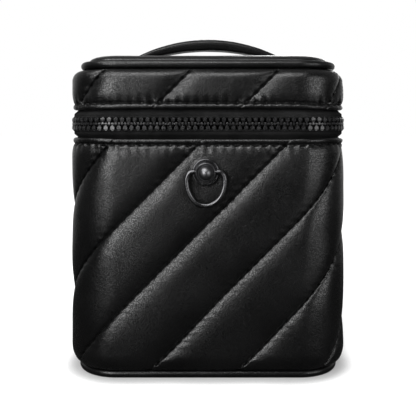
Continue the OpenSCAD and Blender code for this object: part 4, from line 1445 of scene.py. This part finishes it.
def hingeFace(half, face, start, rows):
    # one face of the strip, from its lower edge over the straight part to its upper edge
    straight = [(face, z) for z in np.linspace(start, 2 * zipMiddle - start, rows)]
    return half + straight + [(p, 2 * zipMiddle - z) for p, z in reversed(half)]


def makeHinge():
    outer = hingeFace(hinge["outer"], hinge["face"], *hinge["outerStraight"])
    inner = hingeFace(hinge["inner"], -hinge["thickness"], *hinge["innerStraight"])
    loop = np.array(outer + inner[::-1])
    x = np.linspace(-hinge["half"], hinge["half"], hinge["columns"])
    rings = np.zeros((len(x), len(loop), 3))
    rings[..., 0] = x[:, None]
    rings[..., 1] = halfDepth + loop[None, :, 0]
    rings[..., 2] = loop[None, :, 1]
    # soft folds across the bend
    place = rings * np.array([0.18, 1.0, 1.0])
    rings[..., 1] -= hinge["folds"] * np.abs(noiseAt(place, 1.5, 8)) * bell(rings[..., 2] - zipMiddle, 3.2)
    piece = shellOf("leatherHinge", rings)
    editing(piece, "EDGE")
    fillOpenEnds()
    finishEditing()
    piece.data.shade_smooth()
    piece.data.materials.append(trimLeather)
    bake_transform(piece)
    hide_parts("hinge_lower", "hinge_upper")


makeHinge()
report("leather hinge")


linings = {
    "columns": 380,
    "fold": 13.0,           # width of one soft fold
    # inset, height and looseness from the outer foot over the lip to the inner face
    "tubLip": [(8.3, 5.5, 0), (8.3, 107.9, 0), (6.35, 107.9, 0), (6.2, 108.2, 0), (6.2, 108.85, 0), (6.4, 109.18, 0),
               (6.8, 109.3, 0), (8.6, 109.3, 0), (9.0, 109.2, 0), (9.25, 108.9, 0), (9.3, 108.3, 0.3)],
    "lidLip": [(8.3, 131.1, 0), (8.3, 110.9, 0), (6.35, 110.9, 0), (6.2, 110.6, 0), (6.2, 109.95, 0), (6.4, 109.62, 0),
               (6.8, 109.5, 0), (8.6, 109.5, 0), (9.0, 109.6, 0), (9.25, 109.9, 0), (9.3, 110.5, 0.3)],
    "face": 9.3,
    # the inner face's loose stretches, as first and last height and rows, and the heights held after each
    "tubLoose": ((106.5, 84, 12), (77, 10, 26)),
    "tubHeld": ((82.5, 79.5), (5.5,)),
    "lidLoose": ((112.5, 130, 10),),
    "lidHeld": ((131.1,),),
    "tubFolds": 0.22,
    "lidFolds": 0.18,
}
slabs = {
    # inset, underside, top and how far the edges are eased
    "baseCover": (7.2, 0.0, 1.0, 0.3),
    "lidTopLining": (8.3, 131.2, 132.4, 0.4),
}


def makeSlab(name):
    # a plate with the case's outline and eased edges
    inset, low, high, eased = slabs[name]
    plate = roundedOutline(name, inset, low, 14)
    editing(plate, picked="SELECT")
    raiseBy(high - low)
    finishEditing()
    return smooth(bevelled(plate, eased, 4, 40), 40)


def liningProfile(lip, loose, held):
    profile = list(lip)
    for stretch, heights in zip(loose, held):
        profile += [(linings["face"], z, 1.0) for z in np.linspace(*stretch)]
        profile += [(linings["face"], z, 0.2) for z in heights]
    return profile


def makeLining(name, profile, body, replaced, seed, wrinkle):
    # a fabric band glued to its board; it waves a little where its profile is loose
    u = evenly(linings["columns"])
    rings = []
    for inset, z, loose in profile:
        place = wallRing(u, inset, z) * np.array([1.0, 1.0, 0.35])
        rings.append(wallRing(u, inset + wrinkle * loose * noiseAt(place, linings["fold"], seed), z))
    piece = shellOf(name, rings, joined=True)
    editing(piece)
    finishEditing()
    return finish(smooth(piece, 50), body, "lining_suede", liningSuede, replaced)


def makeLinings():
    profile = liningProfile(linings["tubLip"], linings["tubLoose"], linings["tubHeld"])
    lining = makeLining("tubLining", profile, "tub", "tub_lining", 12, linings["tubFolds"])
    profile = liningProfile(linings["lidLip"], linings["lidLoose"], linings["lidHeld"])
    lining = makeLining("lidLining", profile, "lid", "lid_lining", 14, linings["lidFolds"])
    finish(makeSlab("lidTopLining"), "lid", "lining_suede", liningSuede, "lid_top_lining")
    softened("tray_ledge", "trayLedge", 0.5, 3, "tub", "lining_suede", liningSuede, 40)
    softened("tray_shell", "trayShell", 0.45, 3, "tray", "lining_suede", liningSuede, 40)


finish(makeSlab("baseCover"), "tub", "base_leather", baseLeather, "base_cover")
makeLinings()


floorPad = {
    "columns": 300,
    # its edge from the underside round to the flat top, as inset and height
    "edge": [(8.5, 3.8), (8.3, 4.0), (8.3, 4.6), (8.45, 4.95), (8.9, 5.2), (9.8, 5.32), (12, 5.38), (16, 5.4),
             (21.5, 5.4)],
    "ringsInside": 20,
    "swell": 0.12,
    "lump": 9.0,
}


def makeFloorPad():
    # a thin pad with a soft edge and a shallow swell
    rings = [wallRing(evenly(floorPad["columns"]), inset, z) for inset, z in floorPad["edge"]]
    under = [rings[0] * np.array([share, share, 1.0]) for share in (0.0, 0.4, 0.8)]
    rings += [rings[-1] * np.array([share, share, 1.0]) for share in np.linspace(0.95, 0.0, floorPad["ringsInside"])]
    top = np.array(rings)
    top[3:, :, 2] += floorPad["swell"] * noiseAt(top[3:], floorPad["lump"], 21) - 0.1
    piece = shellOf("floorPad", np.concatenate([np.array(under), top]))
    mergeMiddle(piece)
    piece.data.shade_smooth()
    finish(piece, "tub", "lining_suede", liningSuede, "floor_pad")


makeFloorPad()
report("base and linings")


rolls = {
    "count": 5,
    "inset": 12.2,
    "low": 84.65,
    "high": 103.0,
    "rightEnd": 4.7,
    "endRound": 2.6,
    "between": 0.5,         # the slit between two rolls
    "dent": 0.18,
    "lump": 6.0,
}


def rollSection(radius, height):
    # half round above, nearly flat below
    a = np.linspace(0, 2 * math.pi, 40, endpoint=False)
    cos, sin = np.cos(a), np.sin(a)
    return (np.sign(cos) * np.abs(cos) ** 0.75 * radius,
            np.sign(sin) * np.abs(sin) ** np.where(sin < 0, 0.45, 1.0) * height)


def makeRoll(k):
    depth = 2 * (halfDepth - rolls["inset"])
    pitch = depth / rolls["count"]
    radius = (pitch - rolls["between"]) / 2
    middle = -depth / 2 + (k + 0.5) * pitch
    # the tray's corner is round, so the outer rolls start later
    corner = cornerRadius - rolls["inset"]
    cut = max(0.0, abs(middle) + radius - (halfDepth - rolls["inset"] - corner))
    left = -(halfWidth - rolls["inset"]) + corner - math.sqrt(max(0, corner ** 2 - cut ** 2))
    height = (rolls["high"] - rolls["low"]) / 2
    wide, tall = rollSection(radius, height)
    ends = (rolls["rightEnd"] - left) / rolls["endRound"]
    start = np.array([0.0, 0.02, 0.06, 0.2, 0.45, 0.75])
    rings = []
    for share in np.concatenate([start, np.linspace(1, ends - 1, 40), ends - start[::-1]]):
        near = min(share, ends - share)
        shrink = math.sqrt(max(0.0, 1 - (1 - min(1, near)) ** 2)) * 0.35 + 0.65 if near > 0 else 0.0
        rings.append(np.stack([np.full_like(wide, left + share * rolls["endRound"]), middle + wide * shrink,
                               rolls["low"] + height + tall * shrink], -1))
    rings = np.array(rings)
    outward = rings - np.array([0, middle, rolls["low"] + height])
    outward[..., 0] = 0
    size = np.linalg.norm(outward, axis=-1, keepdims=True) + 1e-6
    rings -= outward / size * (rolls["dent"] * (noiseAt(rings, rolls["lump"], 30 + k)[..., None] + 1))
    roll = shellOf("ringRoll", rings)
    editing(roll, "VERT", "SELECT")
    bpy.ops.mesh.remove_doubles(threshold=0.00002)
    finishEditing()
    return roll


def makeRingRolls():
    pieces = [makeRoll(k) for k in range(rolls["count"])]
    piece = joinAll(pieces[::-1], "ringRolls")
    piece.data.shade_smooth()
    finish(piece, "tray", "lining_suede", liningSuede, "ring_rolls")


makeRingRolls()
report("ring rolls")


def dressSolids(material, *names):
    # the frame's solids that stay as they are
    for name in names:
        nodes[name].data.materials.clear()
        nodes[name].data.materials.append(material)


dressSolids(dyedBoard, "base_board", "tub_board", "lid_edge_board", "lid_board")
dressSolids(plainSteel, "stud_screw", "stud_washer", "handle_rivets")
